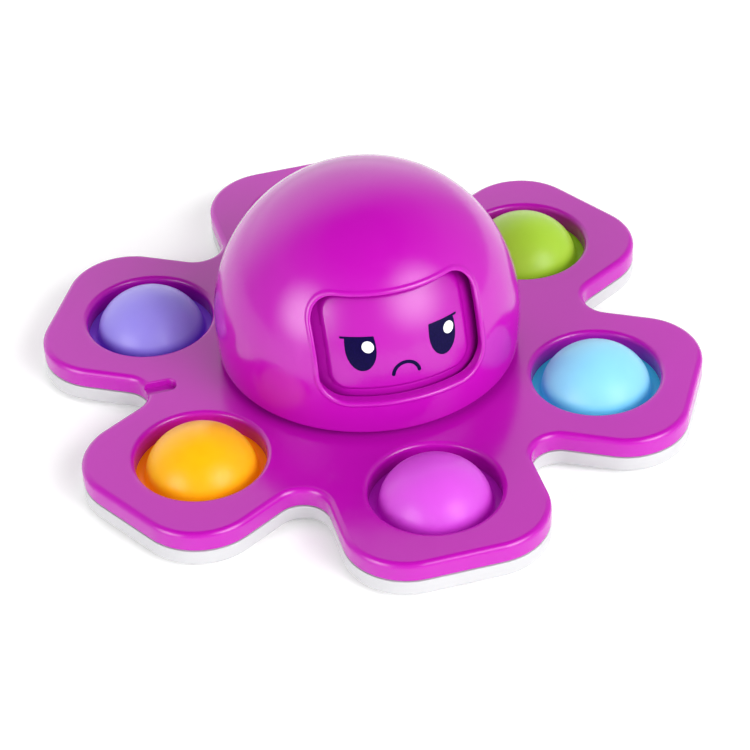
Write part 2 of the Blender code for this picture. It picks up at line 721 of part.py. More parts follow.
def make_index_wheel(look, parent):
    bm = bmesh.new()
    bore = SPINDLE_RADIUS + GAP
    corners = [
        (bore, WHEEL_BOTTOM),
        (WHEEL_RADIUS, WHEEL_BOTTOM),
        (WHEEL_RADIUS, WHEEL_TOP),
        (bore, WHEEL_TOP),
    ]
    add_turned(bm, corners, MEDIUM)
    wheel = place("index_wheel", finished("index_wheel", bm), look, parent)
    notches = bmesh.new()
    for face in range(FACES):
        centre = spot(NOSE_CIRCLE, 90.0 + 360.0 / FACES * face)
        low, high = WHEEL_BOTTOM - THROUGH, WHEEL_TOP + THROUGH
        add_cylinder(notches, WHEEL_NOTCH_RADIUS, low, high, COARSE, centre)
    boolean(wheel, "DIFFERENCE", helper("wheel_notches", notches))


def make_face_drum(look, parent):
    inner_radius = DRUM_RADIUS - DRUM_WALL
    well_edge = math.degrees(math.acos(DRUM_WELL_RADIUS / DRUM_RADIUS))
    hub_edge = math.degrees(math.acos(DRUM_HUB_RADIUS / inner_radius))
    low_outer = math.degrees(math.asin((DRUM_BOTTOM - HEAD_CENTRE) / DRUM_RADIUS))
    low_inner = math.degrees(math.asin((DRUM_BOTTOM - HEAD_CENTRE) / inner_radius))
    profile = [
        *arc((0.0, HEAD_CENTRE), DRUM_RADIUS, well_edge, low_outer, 8),
        *arc((0.0, HEAD_CENTRE), inner_radius, low_inner, hub_edge, 5),
        (DRUM_HUB_RADIUS, DRUM_HUB_BOTTOM),
        (SPINDLE_RADIUS + GAP, DRUM_HUB_BOTTOM),
        (SPINDLE_RADIUS + GAP, DRUM_HUB_BORE_TOP),
        (SCREW_HOLE, DRUM_HUB_BORE_TOP),
        (SCREW_HOLE, DRUM_WELL_BOTTOM),
        (DRUM_WELL_RADIUS, DRUM_WELL_BOTTOM),
    ]
    place("face_drum", turned("face_drum", profile, FINE), look, parent)


def make_spindle(look, parent):
    profile = [
        (PAD_STUB_RADIUS + GAP, SPINDLE_BOTTOM),
        (SPINDLE_RADIUS, SPINDLE_BOTTOM),
        (SPINDLE_RADIUS, SPINDLE_FLANGE_BOTTOM),
        (SPINDLE_FLANGE_RADIUS, SPINDLE_FLANGE_BOTTOM),
        (SPINDLE_FLANGE_RADIUS, SPINDLE_FLANGE_TOP),
        (SPINDLE_RADIUS, SPINDLE_FLANGE_TOP),
        (SPINDLE_RADIUS, SPINDLE_TOP),
        (SCREW_HOLE, SPINDLE_TOP),
        (SCREW_HOLE, SPINDLE_PILOT_BOTTOM),
        (0.0, SPINDLE_PILOT_BOTTOM),
        (0.0, PAD_STUB_TOP + 2 * GAP),
        (PAD_STUB_RADIUS + GAP, PAD_STUB_TOP + 2 * GAP),
    ]
    place("spindle", turned("spindle", profile, MEDIUM), look, parent)


def make_drum_screw(look, parent):
    """Driven down from the top of the drum."""
    where = (0.0, 0.0, DRUM_SCREW_FACE)
    screw = place("drum_screw", screw_mesh("drum_screw", DRUM_SCREW), look, parent, where)
    screw.rotation_euler = (math.pi, 0.0, 0.0)


def make_finger_pad(look, parent):
    profile = [
        (0.0, PAD_DISH_DEPTH),
        (PAD_DISH_RADIUS * 0.85, PAD_DISH_DEPTH * 0.7),
        (PAD_DISH_RADIUS, 0.0),
        (PAD_RADIUS - PAD_EDGE, 0.0),
        (PAD_RADIUS - PAD_EDGE / 4, PAD_EDGE / 3),
        (PAD_RADIUS, PAD_EDGE),
        (PAD_RADIUS, PAD_TOP),
        (SHOULDER_RADIUS, PAD_TOP),
        (SHOULDER_RADIUS, PAD_TOP + PAD_BOSS),
        (SLEEVE_BORE, PAD_TOP + PAD_BOSS),
        (SLEEVE_BORE, PAD_TOP),
        (PAD_STUB_RADIUS, PAD_TOP),
        (PAD_STUB_RADIUS, PAD_STUB_TOP),
        (0.0, PAD_STUB_TOP),
    ]
    place("finger_pad", turned("finger_pad", profile, FINE), look, parent)


def main():
    for obj in list(bpy.data.objects):
        bpy.data.objects.remove(obj)

    magenta = material("magenta_abs", (0.58, 0.005, 0.46), 0.2)
    white = material("white_abs", (0.85, 0.85, 0.88), 0.3)
    nylon = material("nylon", (0.70, 0.66, 0.55), 0.5)
    steel = material("steel", (0.60, 0.60, 0.62), 0.25, 1.0)
    silicone = {name: material(f"silicone_{name}", rgb, 0.5) for name, rgb in COLOURS.items()}

    head = axis("head_axis")
    faces = axis("faces_axis", parent=head)
    spinner = axis("spinner_axis", parent=head)
    cage = axis("cage_axis", parent=head)

    make_head_shell(magenta, head)
    make_head_base(white, head)
    make_base_screws(steel, head)
    make_detent_spring(steel, head)
    make_bearing(steel, nylon, head, spinner, cage)

    make_face_drum(magenta, faces)
    make_index_wheel(nylon, faces)
    make_spindle(white, faces)
    make_drum_screw(steel, faces)
    make_finger_pad(magenta, faces)

    make_top_shell(magenta, spinner)
    make_bottom_shell(white, spinner)
    make_case_screws(steel, spinner)
    make_bubbles(silicone, spinner)


main()
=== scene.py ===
"""Looks of the push-bubble octopus spinner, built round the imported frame.

The plastic shells, the dome, the bubbles, the printed faces and the visible screws are finer pieces that
stand for the plain CAD nodes. The parts inside keep their CAD shape and get a better material.
Lengths are in metres, written as millimetres times MM.
"""

import json
import math

import bmesh
import bpy
from mathutils import Matrix, Vector


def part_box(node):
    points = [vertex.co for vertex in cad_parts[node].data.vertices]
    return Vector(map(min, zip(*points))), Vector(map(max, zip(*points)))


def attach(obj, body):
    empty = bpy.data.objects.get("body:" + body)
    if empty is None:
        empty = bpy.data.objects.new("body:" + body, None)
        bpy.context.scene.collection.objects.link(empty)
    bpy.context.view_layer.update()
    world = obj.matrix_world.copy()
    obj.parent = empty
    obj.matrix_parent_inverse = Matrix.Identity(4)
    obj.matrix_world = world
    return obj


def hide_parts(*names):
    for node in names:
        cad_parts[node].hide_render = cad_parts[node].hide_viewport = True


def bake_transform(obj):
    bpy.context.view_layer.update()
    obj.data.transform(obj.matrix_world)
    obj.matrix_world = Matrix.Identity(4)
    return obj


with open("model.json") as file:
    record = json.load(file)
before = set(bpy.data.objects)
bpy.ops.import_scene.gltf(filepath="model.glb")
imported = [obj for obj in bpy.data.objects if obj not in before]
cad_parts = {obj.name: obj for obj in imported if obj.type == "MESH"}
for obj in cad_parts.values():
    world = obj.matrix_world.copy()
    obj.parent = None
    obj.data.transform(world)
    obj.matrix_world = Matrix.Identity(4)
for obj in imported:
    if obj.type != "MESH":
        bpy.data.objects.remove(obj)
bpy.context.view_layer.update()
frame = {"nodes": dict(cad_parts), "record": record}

MM = 0.001

# Camera
CAMERA_AZIMUTH = -13.7
CAMERA_ELEVATION = 38.09
CAMERA_ROLL = 3.05
CAMERA_DISTANCE = 539.7 * MM
CAMERA_LENS = 136.5
CAMERA_SENSOR = 36.0
CAMERA_AIM = (0.0021, -0.01115)  # the view axis, right of and above the star's centre, in radians

# Star outline
ARMS = 6
TIP = 62.5 * MM
ARM_HALF_WIDTH = 19.0 * MM
ARM_CORNER = 12.0 * MM
NOTCH_RADIUS = 5.2 * MM
NOTCH_CENTRE = 48.4 * MM
FIRST_ARM_DEG = 30.0
HOLE_CIRCLE = 43.75 * MM

# Heights of the star
PLATE_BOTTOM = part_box("bottom_shell")[0].z
BOTTOM_SKIN_TOP = 2.5 * MM
BOTTOM_SEAM = 4.35 * MM
TOP_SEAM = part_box("top_shell")[0].z
TOP_SKIN_BOTTOM = 6.8 * MM
PLATE_TOP = 8.4 * MM
SHELL_WALL = 1.6 * MM
TOP_FILLET = 1.2 * MM
BOTTOM_FILLET = 1.0 * MM
SEAM_FILLET = 0.2 * MM

# Bubble openings and bubbles
RIM_RADIUS = 13.07 * MM
RIM_FILLET = 1.0 * MM
HOLE_RADIUS = RIM_RADIUS - RIM_FILLET
COLLAR_RADIUS = 14.8 * MM
COLLAR_TOP = 3.2 * MM
LIP_BOTTOM = 4.75 * MM
FLANGE_TOP = 4.5 * MM
FLANGE_RADIUS = 14.3 * MM
BUBBLE_RADIUS = 10.2 * MM
BUBBLE_WALL = 0.95 * MM
BUBBLE_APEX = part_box("bubble_crown_pink")[1].z
BUBBLE_FULLNESS = 1.85  # exponent of the dome's outline: 2 is an ellipse, less is more pointed
BUBBLE_FOOT = 0.7 * MM
FOOT_SHARE = 0.1  # the part of a bubble's colour ramp that lies between its flange and its foot

# Case screws and their bosses
CASE_SCREW_CIRCLE = 33.0 * MM
CASE_SCREW_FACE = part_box("case_screw_1")[0].z
WELL_RADIUS = 2.3 * MM
WELL_TOP = 2.8 * MM
BOSS_RADIUS = 3.3 * MM
TOP_BOSS_RADIUS = 2.8 * MM
SCREW_HOLE = 1.25 * MM
PILOT_TOP = 7.6 * MM

# Groove in the notch on the -X side
GROOVE_DEG = 180.0
GROOVE_INNER = 37.6 * MM
GROOVE_WIDTH = 3.2 * MM
GROOVE_FLOOR = 7.1 * MM
GROOVE_ROUND = 0.35 * MM

# Bearing seat, hub and finger pad recess
SEAT_RADIUS = 11.25 * MM
SEAT_WALL_RADIUS = 13.4 * MM
SEAT_WALL_TOP = 7.3 * MM
HUB_RADIUS = 15.5 * MM
HUB_TOP = 10.1 * MM
HUB_LIP_RADIUS = 9.8 * MM
HUB_LIP_BOTTOM = 9.2 * MM
HUB_SKIRT_BOTTOM = 5.5 * MM
PAD_RADIUS = 12.0 * MM
PAD_TOP = 1.4 * MM
PAD_RECESS_RADIUS, PAD_RECESS_TOP = 13.2 * MM, 1.7 * MM
PAD_DISH_RADIUS, PAD_DISH_DEPTH = 7.5 * MM, 0.5 * MM
PAD_ROUND = 0.9 * MM
PAD_STUB_RADIUS, PAD_STUB_TOP = 1.3 * MM, 6.0 * MM

# Head
HEAD_RADIUS = 28.7 * MM
HEAD_CENTRE = 17.05 * MM
HEAD_WALL = 2.0 * MM
SKIRT_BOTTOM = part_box("head_shell")[0].z
SKIRT_RADIUS = 28.2 * MM
SKIRT_INNER = 26.7 * MM
SKIRT_ROUND = 0.9 * MM
WINDOW = (15.2 * MM, 17.2 * MM, 35.7 * MM, 4.8 * MM)  # half width, bottom, top and corner radius
WINDOW_ROUND = 0.6 * MM
BEAD_WIDTH = 1.1 * MM
BEAD_HEIGHT = 0.12 * MM

# Drum behind the window
DRUM_RADIUS = 26.2 * MM
PANEL = (13.7 * MM, 17.7 * MM, 35.3 * MM, 3.8 * MM)  # half width, bottom, top and corner radius
PANEL_EDGE = 1.3 * MM
PANEL_HEIGHT = 0.4 * MM
DRUM_WALL = 1.4 * MM
DRUM_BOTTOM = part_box("face_drum")[0].z
DRUM_HUB_RADIUS = 5.0 * MM
DRUM_HUB_BOTTOM = 29.3 * MM
DRUM_HUB_BORE_TOP = 38.3 * MM
DRUM_WELL_RADIUS, DRUM_WELL_BOTTOM = 2.7 * MM, 41.2 * MM
SPINDLE_BORE = 2.65 * MM

# Printed faces: u runs along the drum to the viewer's right, v up from its widest level
INK = 0.03 * MM  # thickness of the print
GLINT_INK = 1.6 * INK
LID_INK = 1.1 * INK
EYE = (7.85 * MM, 9.45 * MM)
MOUTH_LINE = 0.68 * MM
LID_LINE = 0.42 * MM
CROSS_ASIDE = 0.4 * MM  # the cross face sits this far right of the window's middle
CROSS_EYE = (2.85 * MM, 4.25 * MM, 6.2 * MM, 2.2 * MM)  # half width, depth, height and height of the lid

GAP = 0.3 * MM
THROUGH = 2.0 * MM  # how far a cutter reaches past what it cuts
NEARLY_ONE = 0.9  # a step less than one, so a shrinking outline ends just short of a point
ROUND = 96  # facets round a full turn
FINE_ROUND = 144
SHARP_DEG = 32.0  # edges sharper than this stay crisp

# Colours, linear
MAGENTA = (0.42, 0.003, 0.37)
WHITE = (0.51, 0.51, 0.525)
BUBBLE_COLOURS_AND_PAINTED_LIGHT = {
    "green": ((0.29, 0.47, 0.035), (0.26, 0.50, 0.015), (0.26, 0.50, 0.015)),
    "yellow": ((0.72, 0.52, 0.03), (0.85, 0.50, 0.01), (0.90, 0.48, 0.01)),
    "lavender": ((0.25, 0.21, 0.62), (0.09, 0.015, 0.46), (0.20, 0.05, 0.60)),
    "orange": ((0.74, 0.36, 0.002), (0.95, 0.32, 0.002), (1.0, 0.25, 0.002)),
    "pink": ((0.52, 0.07, 0.56), (0.46, 0.003, 0.48), (0.44, 0.01, 0.48)),
    "blue": ((0.21, 0.53, 0.70), (0.06, 0.48, 0.80), (0.06, 0.50, 0.78)),
}  # by arm, anticlockwise from FIRST_ARM_DEG: the colours of the dome, its foot and its flange. The foot and flange colours are partly the thin skin's own deeper tint and partly painted shade and painted reflection of the magenta well; orange and yellow are also painted brighter there, against the well's real shade
NYLON = (0.70, 0.66, 0.55)
STEEL = (0.60, 0.60, 0.62)
PRINTED_DARK = ((0.002, 0.0005, 0.03), (0.004, 0.001, 0.045))
PRINTED_WHITE = (0.92, 0.92, 0.95)
FLOOR = ((0.95, 0.95, 0.95), (0.96, 0.96, 0.96))

# Light. Azimuth 0 is in front of the window, positive to its right; angles are in degrees
SKY_STOPS = ((0.0, 0.5), (0.5, 0.46), (0.78, 0.22), (0.95, 0.03))  # sine of elevation, radiance
GLOWS = (
    (-66.0, 21.0, 2.0, 28.5, 6.8),
    (35.0, 32.0, 3.0, 31.0, 7.0),
    (-175.0, 12.0, 22.0, 62.0, 1.08),
)  # azimuth, elevation, inner and outer radius, and radiance
FLOOR_HALF = 3.0
FLOOR_DROP = 0.1 * MM


# ---------------------------------------------------------------- shapes


def spot(radius, degrees, height=0.0):
    angle = math.radians(degrees)
    return Vector((radius * math.cos(angle), radius * math.sin(angle), height))


def arc(centre, radius, start_deg, end_deg, segments):
    """Points from start_deg to end_deg, both included."""
    turn = (end_deg - start_deg) / segments
    angles = [math.radians(start_deg + turn * i) for i in range(segments + 1)]
    return [(centre[0] + radius * math.cos(a), centre[1] + radius * math.sin(a)) for a in angles]


def made_mesh(name, bm, sharp_deg=SHARP_DEG):
    bmesh.ops.recalc_face_normals(bm, faces=bm.faces)
    mesh = bpy.data.meshes.new(name)
    bm.to_mesh(mesh)
    bm.free()
    mesh.shade_smooth()
    mesh.set_sharp_from_angle(angle=math.radians(sharp_deg))
    return mesh


def placed(name, mesh, look=None):
    obj = bpy.data.objects.new(name, mesh)
    bpy.context.scene.collection.objects.link(obj)
    if look is not None:
        mesh.materials.clear()
        mesh.materials.append(look)
    return obj


def add_turned(bm, profile, steps, centre=(0.0, 0.0)):
    """Adds the closed profile of (radius, z) turned about the vertical axis through centre."""
    rings = []
    for radius, z in profile:
        if radius == 0.0:
            rings.append([bm.verts.new((centre[0], centre[1], z))] * steps)
            continue
        turned = [spot(radius, 360.0 * i / steps, z) for i in range(steps)]
        rings.append([bm.verts.new((centre[0] + p.x, centre[1] + p.y, p.z)) for p in turned])
    for low, high in zip(rings, rings[1:] + rings[:1]):
        for i in range(steps):
            corners = (low[i], low[(i + 1) % steps], high[(i + 1) % steps], high[i])
            loop = [v for n, v in enumerate(corners) if v is not corners[n - 1]]
            if len(loop) > 2:
                bm.faces.new(loop)


def add_layers(bm, layers):
    """Adds a solid from stacked outlines of equal length, closed by a flat cap at each end."""
    rows = [[bm.verts.new(point) for point in layer] for layer in layers]
    for low, high in zip(rows, rows[1:]):
        for i in range(len(low)):
            j = (i + 1) % len(low)
            bm.faces.new((low[i], low[j], high[j], high[i]))
    bm.faces.new(rows[0])
    bm.faces.new(rows[-1])


def add_cylinder(bm, radius, bottom, top, steps, centre=(0.0, 0.0)):
    profile = [(0.0, bottom), (radius, bottom), (radius, top), (0.0, top)]
    add_turned(bm, profile, steps, centre)


def add_box(bm, low, high, turn_deg=0.0):
    made = bmesh.ops.create_cube(bm, size=1.0)["verts"]
    size = [b - a for a, b in zip(low, high)]
    middle = [(a + b) / 2 for a, b in zip(low, high)]
    bmesh.ops.scale(bm, vec=size, verts=made)
    bmesh.ops.translate(bm, vec=middle, verts=made)
    bmesh.ops.rotate(bm, matrix=Matrix.Rotation(math.radians(turn_deg), 3, "Z"), verts=made)


def carved(name, bm, steps, look, sharp_deg=SHARP_DEG):
    """One object: the mesh of bm after the Booleans in steps, [(operation, bmesh), ...]."""
    obj = placed(name, made_mesh(name, bm))
    helpers = []
    for number, (operation, other) in enumerate(steps):
        helper = placed(f"{name}_helper_{number}", made_mesh("helper", other))
        modifier = obj.modifiers.new("cut", "BOOLEAN")
        modifier.operation = operation
        modifier.solver = "EXACT"
        modifier.object = helper
        helpers.append(helper)
    bpy.context.view_layer.update()
    graph = bpy.context.evaluated_depsgraph_get()
    mesh = bpy.data.meshes.new_from_object(obj.evaluated_get(graph))
    for helper in helpers:
        bpy.data.objects.remove(helper)
    bpy.data.objects.remove(obj)
    mesh.shade_smooth()
    mesh.set_sharp_from_angle(angle=math.radians(sharp_deg))
    done = placed(name, mesh, look)
    weighted = done.modifiers.new("normals", "WEIGHTED_NORMAL")
    weighted.keep_sharp = True
    weighted.weight = 90
    return done


def arm_angles():
    return [FIRST_ARM_DEG + 360.0 / ARMS * i for i in range(ARMS)]


def notch_angles():
    return [angle + 180.0 / ARMS for angle in arm_angles()]


def star(inset, z, segments=18):
    """The star's outline moved inwards by inset, at height z."""
    points = []
    along = TIP - ARM_CORNER
    aside = ARM_HALF_WIDTH - ARM_CORNER
    for angle in arm_angles():
        for side in (-1, 1):
            centre = Matrix.Rotation(math.radians(angle), 2) @ Vector((along, side * aside))
            start = angle - 90.0 if side < 0 else angle
            points += arc(centre, ARM_CORNER - inset, start, start + 90.0, segments)
        notch = spot(NOTCH_CENTRE, angle + 180.0 / ARMS)
        points += arc(notch, NOTCH_RADIUS + inset, angle + 270.0, angle + 150.0, segments)
    return [(x, y, z) for x, y in points]


def filleted(fillet, face, seam, segments=8, seam_segments=3):
    """Layers of the star from height seam to height face, rounded at both."""
    up = 1 if face > seam else -1
    layers = []
    for i in range(seam_segments + 1):
        a = math.radians(90.0 * i / seam_segments)
        inset = SEAM_FILLET * (1 - math.sin(a))
        layers.append(star(inset, seam + up * SEAM_FILLET * (1 - math.cos(a))))
    for i in range(segments + 1):
        a = math.radians(90.0 * i / segments)
        inset = fillet * (1 - math.cos(a))
        layers.append(star(inset, face - up * fillet * (1 - math.sin(a))))
    return layers


# ---------------------------------------------------------------- pieces of the star


def make_star_top(look):
    """The magenta shell: hollow, with collars, screw bosses and a hub inside."""
    body = bmesh.new()
    add_layers(body, filleted(TOP_FILLET, PLATE_TOP, TOP_SEAM))

    cavity = bmesh.new()
    add_layers(cavity, [star(SHELL_WALL, z) for z in (TOP_SEAM - THROUGH, TOP_SKIN_BOTTOM)])

    added = bmesh.new()
    into_skin = (TOP_SKIN_BOTTOM + PLATE_TOP) / 2
    for angle in arm_angles():
        add_cylinder(added, COLLAR_RADIUS, LIP_BOTTOM, into_skin, ROUND, spot(HOLE_CIRCLE, angle))
    for angle in notch_angles():
        centre = spot(CASE_SCREW_CIRCLE, angle)
        add_cylinder(added, TOP_BOSS_RADIUS, TOP_SEAM, into_skin, ROUND // 2, centre)
    hub_edge = arc((HUB_RADIUS - SHELL_WALL / 2, HUB_TOP - SHELL_WALL / 2), SHELL_WALL / 2, 0.0, 90.0, 5)
    hub = [(0.0, HUB_SKIRT_BOTTOM), (HUB_RADIUS, HUB_SKIRT_BOTTOM), *hub_edge, (0.0, HUB_TOP)]
    add_turned(added, hub, ROUND)
    low = (GROOVE_INNER - THROUGH / 4, -GROOVE_WIDTH, HUB_SKIRT_BOTTOM)
    high = (NOTCH_CENTRE - NOTCH_RADIUS - SHELL_WALL / 2, GROOVE_WIDTH, into_skin)
    add_box(added, low, high, GROOVE_DEG)

    cut = bmesh.new()
    for angle in arm_angles():
        edge = arc((RIM_RADIUS, PLATE_TOP - RIM_FILLET), RIM_FILLET, 180.0, 90.0, 8)
        low, high = LIP_BOTTOM - THROUGH, PLATE_TOP + THROUGH
        profile = [(0.0, low), (HOLE_RADIUS, low), *edge, (RIM_RADIUS, high), (0.0, high)]
        add_turned(cut, profile, FINE_ROUND, spot(HOLE_CIRCLE, angle))
    for angle in notch_angles():
        centre = spot(CASE_SCREW_CIRCLE, angle)
        add_cylinder(cut, SCREW_HOLE, TOP_SEAM - THROUGH, PILOT_TOP, ROUND // 4, centre)
    bore = [
        (0.0, HUB_SKIRT_BOTTOM - THROUGH),
        (SEAT_WALL_RADIUS + GAP, HUB_SKIRT_BOTTOM - THROUGH),
        (SEAT_WALL_RADIUS + GAP, SEAT_WALL_TOP + GAP),
        (SEAT_RADIUS, SEAT_WALL_TOP + GAP),
        (SEAT_RADIUS, HUB_LIP_BOTTOM),
        (HUB_LIP_RADIUS, HUB_LIP_BOTTOM),
        (HUB_LIP_RADIUS, HUB_TOP + THROUGH),
        (0.0, HUB_TOP + THROUGH),
    ]
    add_turned(cut, bore, ROUND)
    add_groove(cut)

    steps = [("DIFFERENCE", cavity), ("UNION", added), ("DIFFERENCE", cut)]
    shell = carved("star_top", body, steps, look)
    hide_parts("top_shell")
    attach(shell, "spinner")


def add_groove(bm):
    """A slot with a round inner end and a softened upper edge, open to the notch."""
    half = GROOVE_WIDTH / 2
    soft = GROOVE_ROUND
    turn = Matrix.Rotation(math.radians(GROOVE_DEG), 2)
    layers = []
    heights = [(0.0, GROOVE_FLOOR), (0.0, PLATE_TOP - soft)]
    for degrees in (30.0, 60.0, 90.0):
        a = math.radians(degrees)
        heights.append((soft * (1 - math.cos(a)), PLATE_TOP - soft * (1 - math.sin(a))))
    heights.append((soft, PLATE_TOP + THROUGH))
    for grow, z in heights:
        outline = arc((GROOVE_INNER + half, 0.0), half + grow, 90.0, 270.0, 20)
        outline += [(NOTCH_CENTRE, -half - grow), (NOTCH_CENTRE, half + grow)]
        layers.append([(*(turn @ Vector(point)), z) for point in outline])
    add_layers(bm, layers)


def make_star_bottom(look):
    """The white shell, with the wells of the case screws and the recess of the finger pad."""
    body = bmesh.new()
    add_layers(body, filleted(BOTTOM_FILLET, PLATE_BOTTOM, BOTTOM_SEAM))

    cavity = bmesh.new()
    add_layers(cavity, [star(SHELL_WALL, z) for z in (BOTTOM_SKIN_TOP, BOTTOM_SEAM + THROUGH)])

    added = bmesh.new()
    into_skin = (PLATE_BOTTOM + BOTTOM_SKIN_TOP) / 2
    for angle in arm_angles():
        add_cylinder(added, COLLAR_RADIUS, into_skin, COLLAR_TOP, ROUND, spot(HOLE_CIRCLE, angle))
    for angle in notch_angles():
        centre = spot(CASE_SCREW_CIRCLE, angle)
        add_cylinder(added, BOSS_RADIUS, into_skin, BOTTOM_SEAM, ROUND // 2, centre)
    add_cylinder(added, SEAT_WALL_RADIUS, into_skin, SEAT_WALL_TOP, ROUND)

    cut = bmesh.new()
    low, high = PLATE_BOTTOM - THROUGH, COLLAR_TOP + THROUGH
    for angle in arm_angles():
        edge = arc((RIM_RADIUS, PLATE_BOTTOM + RIM_FILLET), RIM_FILLET, 270.0, 180.0, 6)
        profile = [(0.0, low), (RIM_RADIUS, low), *edge, (HOLE_RADIUS, high), (0.0, high)]
        add_turned(cut, profile, ROUND, spot(HOLE_CIRCLE, angle))
    for angle in notch_angles():
        soft = SEAM_FILLET
        profile = [
            (0.0, low),
            (WELL_RADIUS + soft, low),
            (WELL_RADIUS + soft, PLATE_BOTTOM),
            (WELL_RADIUS, PLATE_BOTTOM + soft),
            (WELL_RADIUS, WELL_TOP),
            (SCREW_HOLE, WELL_TOP),
            (SCREW_HOLE, high),
            (0.0, high),
        ]
        add_turned(cut, profile, ROUND // 2, spot(CASE_SCREW_CIRCLE, angle))
    seat = [
        (0.0, low),
        (PAD_RECESS_RADIUS + SEAM_FILLET, low),
        (PAD_RECESS_RADIUS + SEAM_FILLET, PLATE_BOTTOM),
        (PAD_RECESS_RADIUS, PLATE_BOTTOM + SEAM_FILLET),
        (PAD_RECESS_RADIUS, PAD_RECESS_TOP),
        (SEAT_RADIUS, PAD_RECESS_TOP),
        (SEAT_RADIUS, SEAT_WALL_TOP + THROUGH),
        (0.0, SEAT_WALL_TOP + THROUGH),
    ]
    add_turned(cut, seat, ROUND)

    steps = [("DIFFERENCE", cavity), ("UNION", added), ("DIFFERENCE", cut)]
    shell = carved("star_bottom", body, steps, look)
    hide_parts("bottom_shell")
    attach(shell, "spinner")


def make_bubbles(looks):
    """Each bubble is one skin, from its flange round its foot to the top of its dome."""
    flange_steps, foot_steps, dome_steps = 8, 8, 32
    foot = FLANGE_TOP + BUBBLE_FOOT
    foot_radius = BUBBLE_RADIUS + BUBBLE_FOOT
    profile = []
    for i in range(flange_steps):
        r = FLANGE_RADIUS + (foot_radius - FLANGE_RADIUS) * i / flange_steps
        profile.append((r, FLANGE_TOP, 0.0))
    for i, (r, z) in enumerate(arc((foot_radius, foot), BUBBLE_FOOT, 270.0, 180.0, foot_steps)):
        profile.append((r, z, FOOT_SHARE * i / foot_steps))
    for i in range(1, dome_steps):
        a = math.radians(90.0 * i / dome_steps)
        height = math.sin(a) ** (2 / BUBBLE_FULLNESS)
        r = BUBBLE_RADIUS * math.cos(a) ** (2 / BUBBLE_FULLNESS)
        profile.append((r, foot + (BUBBLE_APEX - foot) * height, FOOT_SHARE + (1 - FOOT_SHARE) * height))

    for (colour, look), angle in zip(looks.items(), arm_angles()):
        bm = bmesh.new()
        layer = bm.verts.layers.float.new("dome")
        centre = spot(HOLE_CIRCLE, angle)
        rows = []
        for r, z, share in profile:
            row = [bm.verts.new(centre + spot(r, 360.0 * i / ROUND, z)) for i in range(ROUND)]
            for v in row:
                v[layer] = share
            rows.append(row)
        for low, high in zip(rows, rows[1:]):
            for i in range(ROUND):
                j = (i + 1) % ROUND
                bm.faces.new((low[i], low[j], high[j], high[i]))
        top = bm.verts.new(centre + Vector((0.0, 0.0, BUBBLE_APEX)))
        top[layer] = 1.0
        for i in range(ROUND):
            bm.faces.new((rows[-1][i], rows[-1][(i + 1) % ROUND], top))
        mesh = made_mesh(f"bubble_{colour}", bm, 60.0)
        skin = placed(f"bubble_{colour}", mesh, look)
        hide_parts(f"bubble_web_{colour}", f"bubble_crown_{colour}")
        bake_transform(skin)
        solid = skin.modifiers.new("wall", "SOLIDIFY")
        solid.thickness = BUBBLE_WALL
        solid.offset = -1.0


def screw_mesh():
    """A pan head with a cross recess, drive face at z = 0, pointing up."""
    head, height, shank, length = 2.0 * MM, 1.2 * MM, 0.95 * MM, 6.0 * MM
    body = bmesh.new()
    crown = arc((head - 0.45 * MM, 0.45 * MM), 0.45 * MM, 270.0, 360.0, 6)
    profile = [(0.0, 0.0), *crown, (head, height), (shank, height)]
    profile += [(shank, length - shank), (0.0, length)]
    add_turned(body, profile, 48)
    cross = bmesh.new()
    long, short = head * 0.55, head * 0.16
    outline = []
    for quarter in range(4):
        turn = Matrix.Rotation(math.radians(90.0 * quarter), 2)
        for x, y in ((long, -short * 0.8), (long, short * 0.8), (short, short)):
            outline.append(turn @ Vector((x, y)))
    tapers = ((1.15, -THROUGH), (1.0, 0.0), (0.6, height * 0.75))
    add_layers(cross, [[(p.x * s, p.y * s, z) for p in outline] for s, z in tapers])
    obj = carved("screw_blank", body, [("DIFFERENCE", cross)], None, 25.0)
    mesh = obj.data
    bpy.data.objects.remove(obj)
    return mesh


def make_case_screws(look):
    mesh = screw_mesh()
    for number, angle in enumerate(notch_angles(), 1):
        screw = placed(f"case_screw_fine_{number}", mesh, look)
        screw.location = spot(CASE_SCREW_CIRCLE, angle, CASE_SCREW_FACE)
        screw.rotation_euler = (0.0, 0.0, math.radians(37.0 * number))
        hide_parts(f"case_screw_{number}")
        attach(screw, "spinner")


# ---------------------------------------------------------------- head


def outer_radius(z):
    """Radius of the head's outside at a height."""
    if z >= HEAD_CENTRE:
        return math.sqrt(max(HEAD_RADIUS**2 - (z - HEAD_CENTRE) ** 2, 0.0))
    share = (HEAD_CENTRE - z) / (HEAD_CENTRE - SKIRT_BOTTOM)
    return HEAD_RADIUS - (HEAD_RADIUS - SKIRT_RADIUS) * share**2


def inner_radius(z):
    inside = HEAD_RADIUS - HEAD_WALL
    if z >= HEAD_CENTRE:
        return math.sqrt(max(inside**2 - (z - HEAD_CENTRE) ** 2, 0.0))
    share = (HEAD_CENTRE - z) / (HEAD_CENTRE - SKIRT_BOTTOM)
    return inside - (inside - SKIRT_INNER) * share**2


def framed(half_width, bottom, top, corner):
    """Points on a rounded frame as seen from the front, (x, z), each with its outward normal."""
    high, low, wide = top - corner, bottom + corner, half_width - corner
    corners = ((wide, high, 0.0), (-wide, high, 90.0), (-wide, low, 180.0), (wide, low, 270.0))
    bends, sides = 28, (44, 20)
    samples = []
    for number, (x, z, start) in enumerate(corners):
        for i in range(bends):
            a = math.radians(start + 90.0 * i / bends)
            n = Vector((math.cos(a), math.sin(a)))
            samples.append((Vector((x, z)) + n * corner, n))
        following = corners[(number + 1) % 4]
        a = math.radians(start + 90.0)
        n = Vector((math.cos(a), math.sin(a)))
        count = sides[number % 2]
        for i in range(count):
            base = Vector((x, z)).lerp(Vector(following[:2]), i / count)
            samples.append((base + n * corner, n))
    return samples


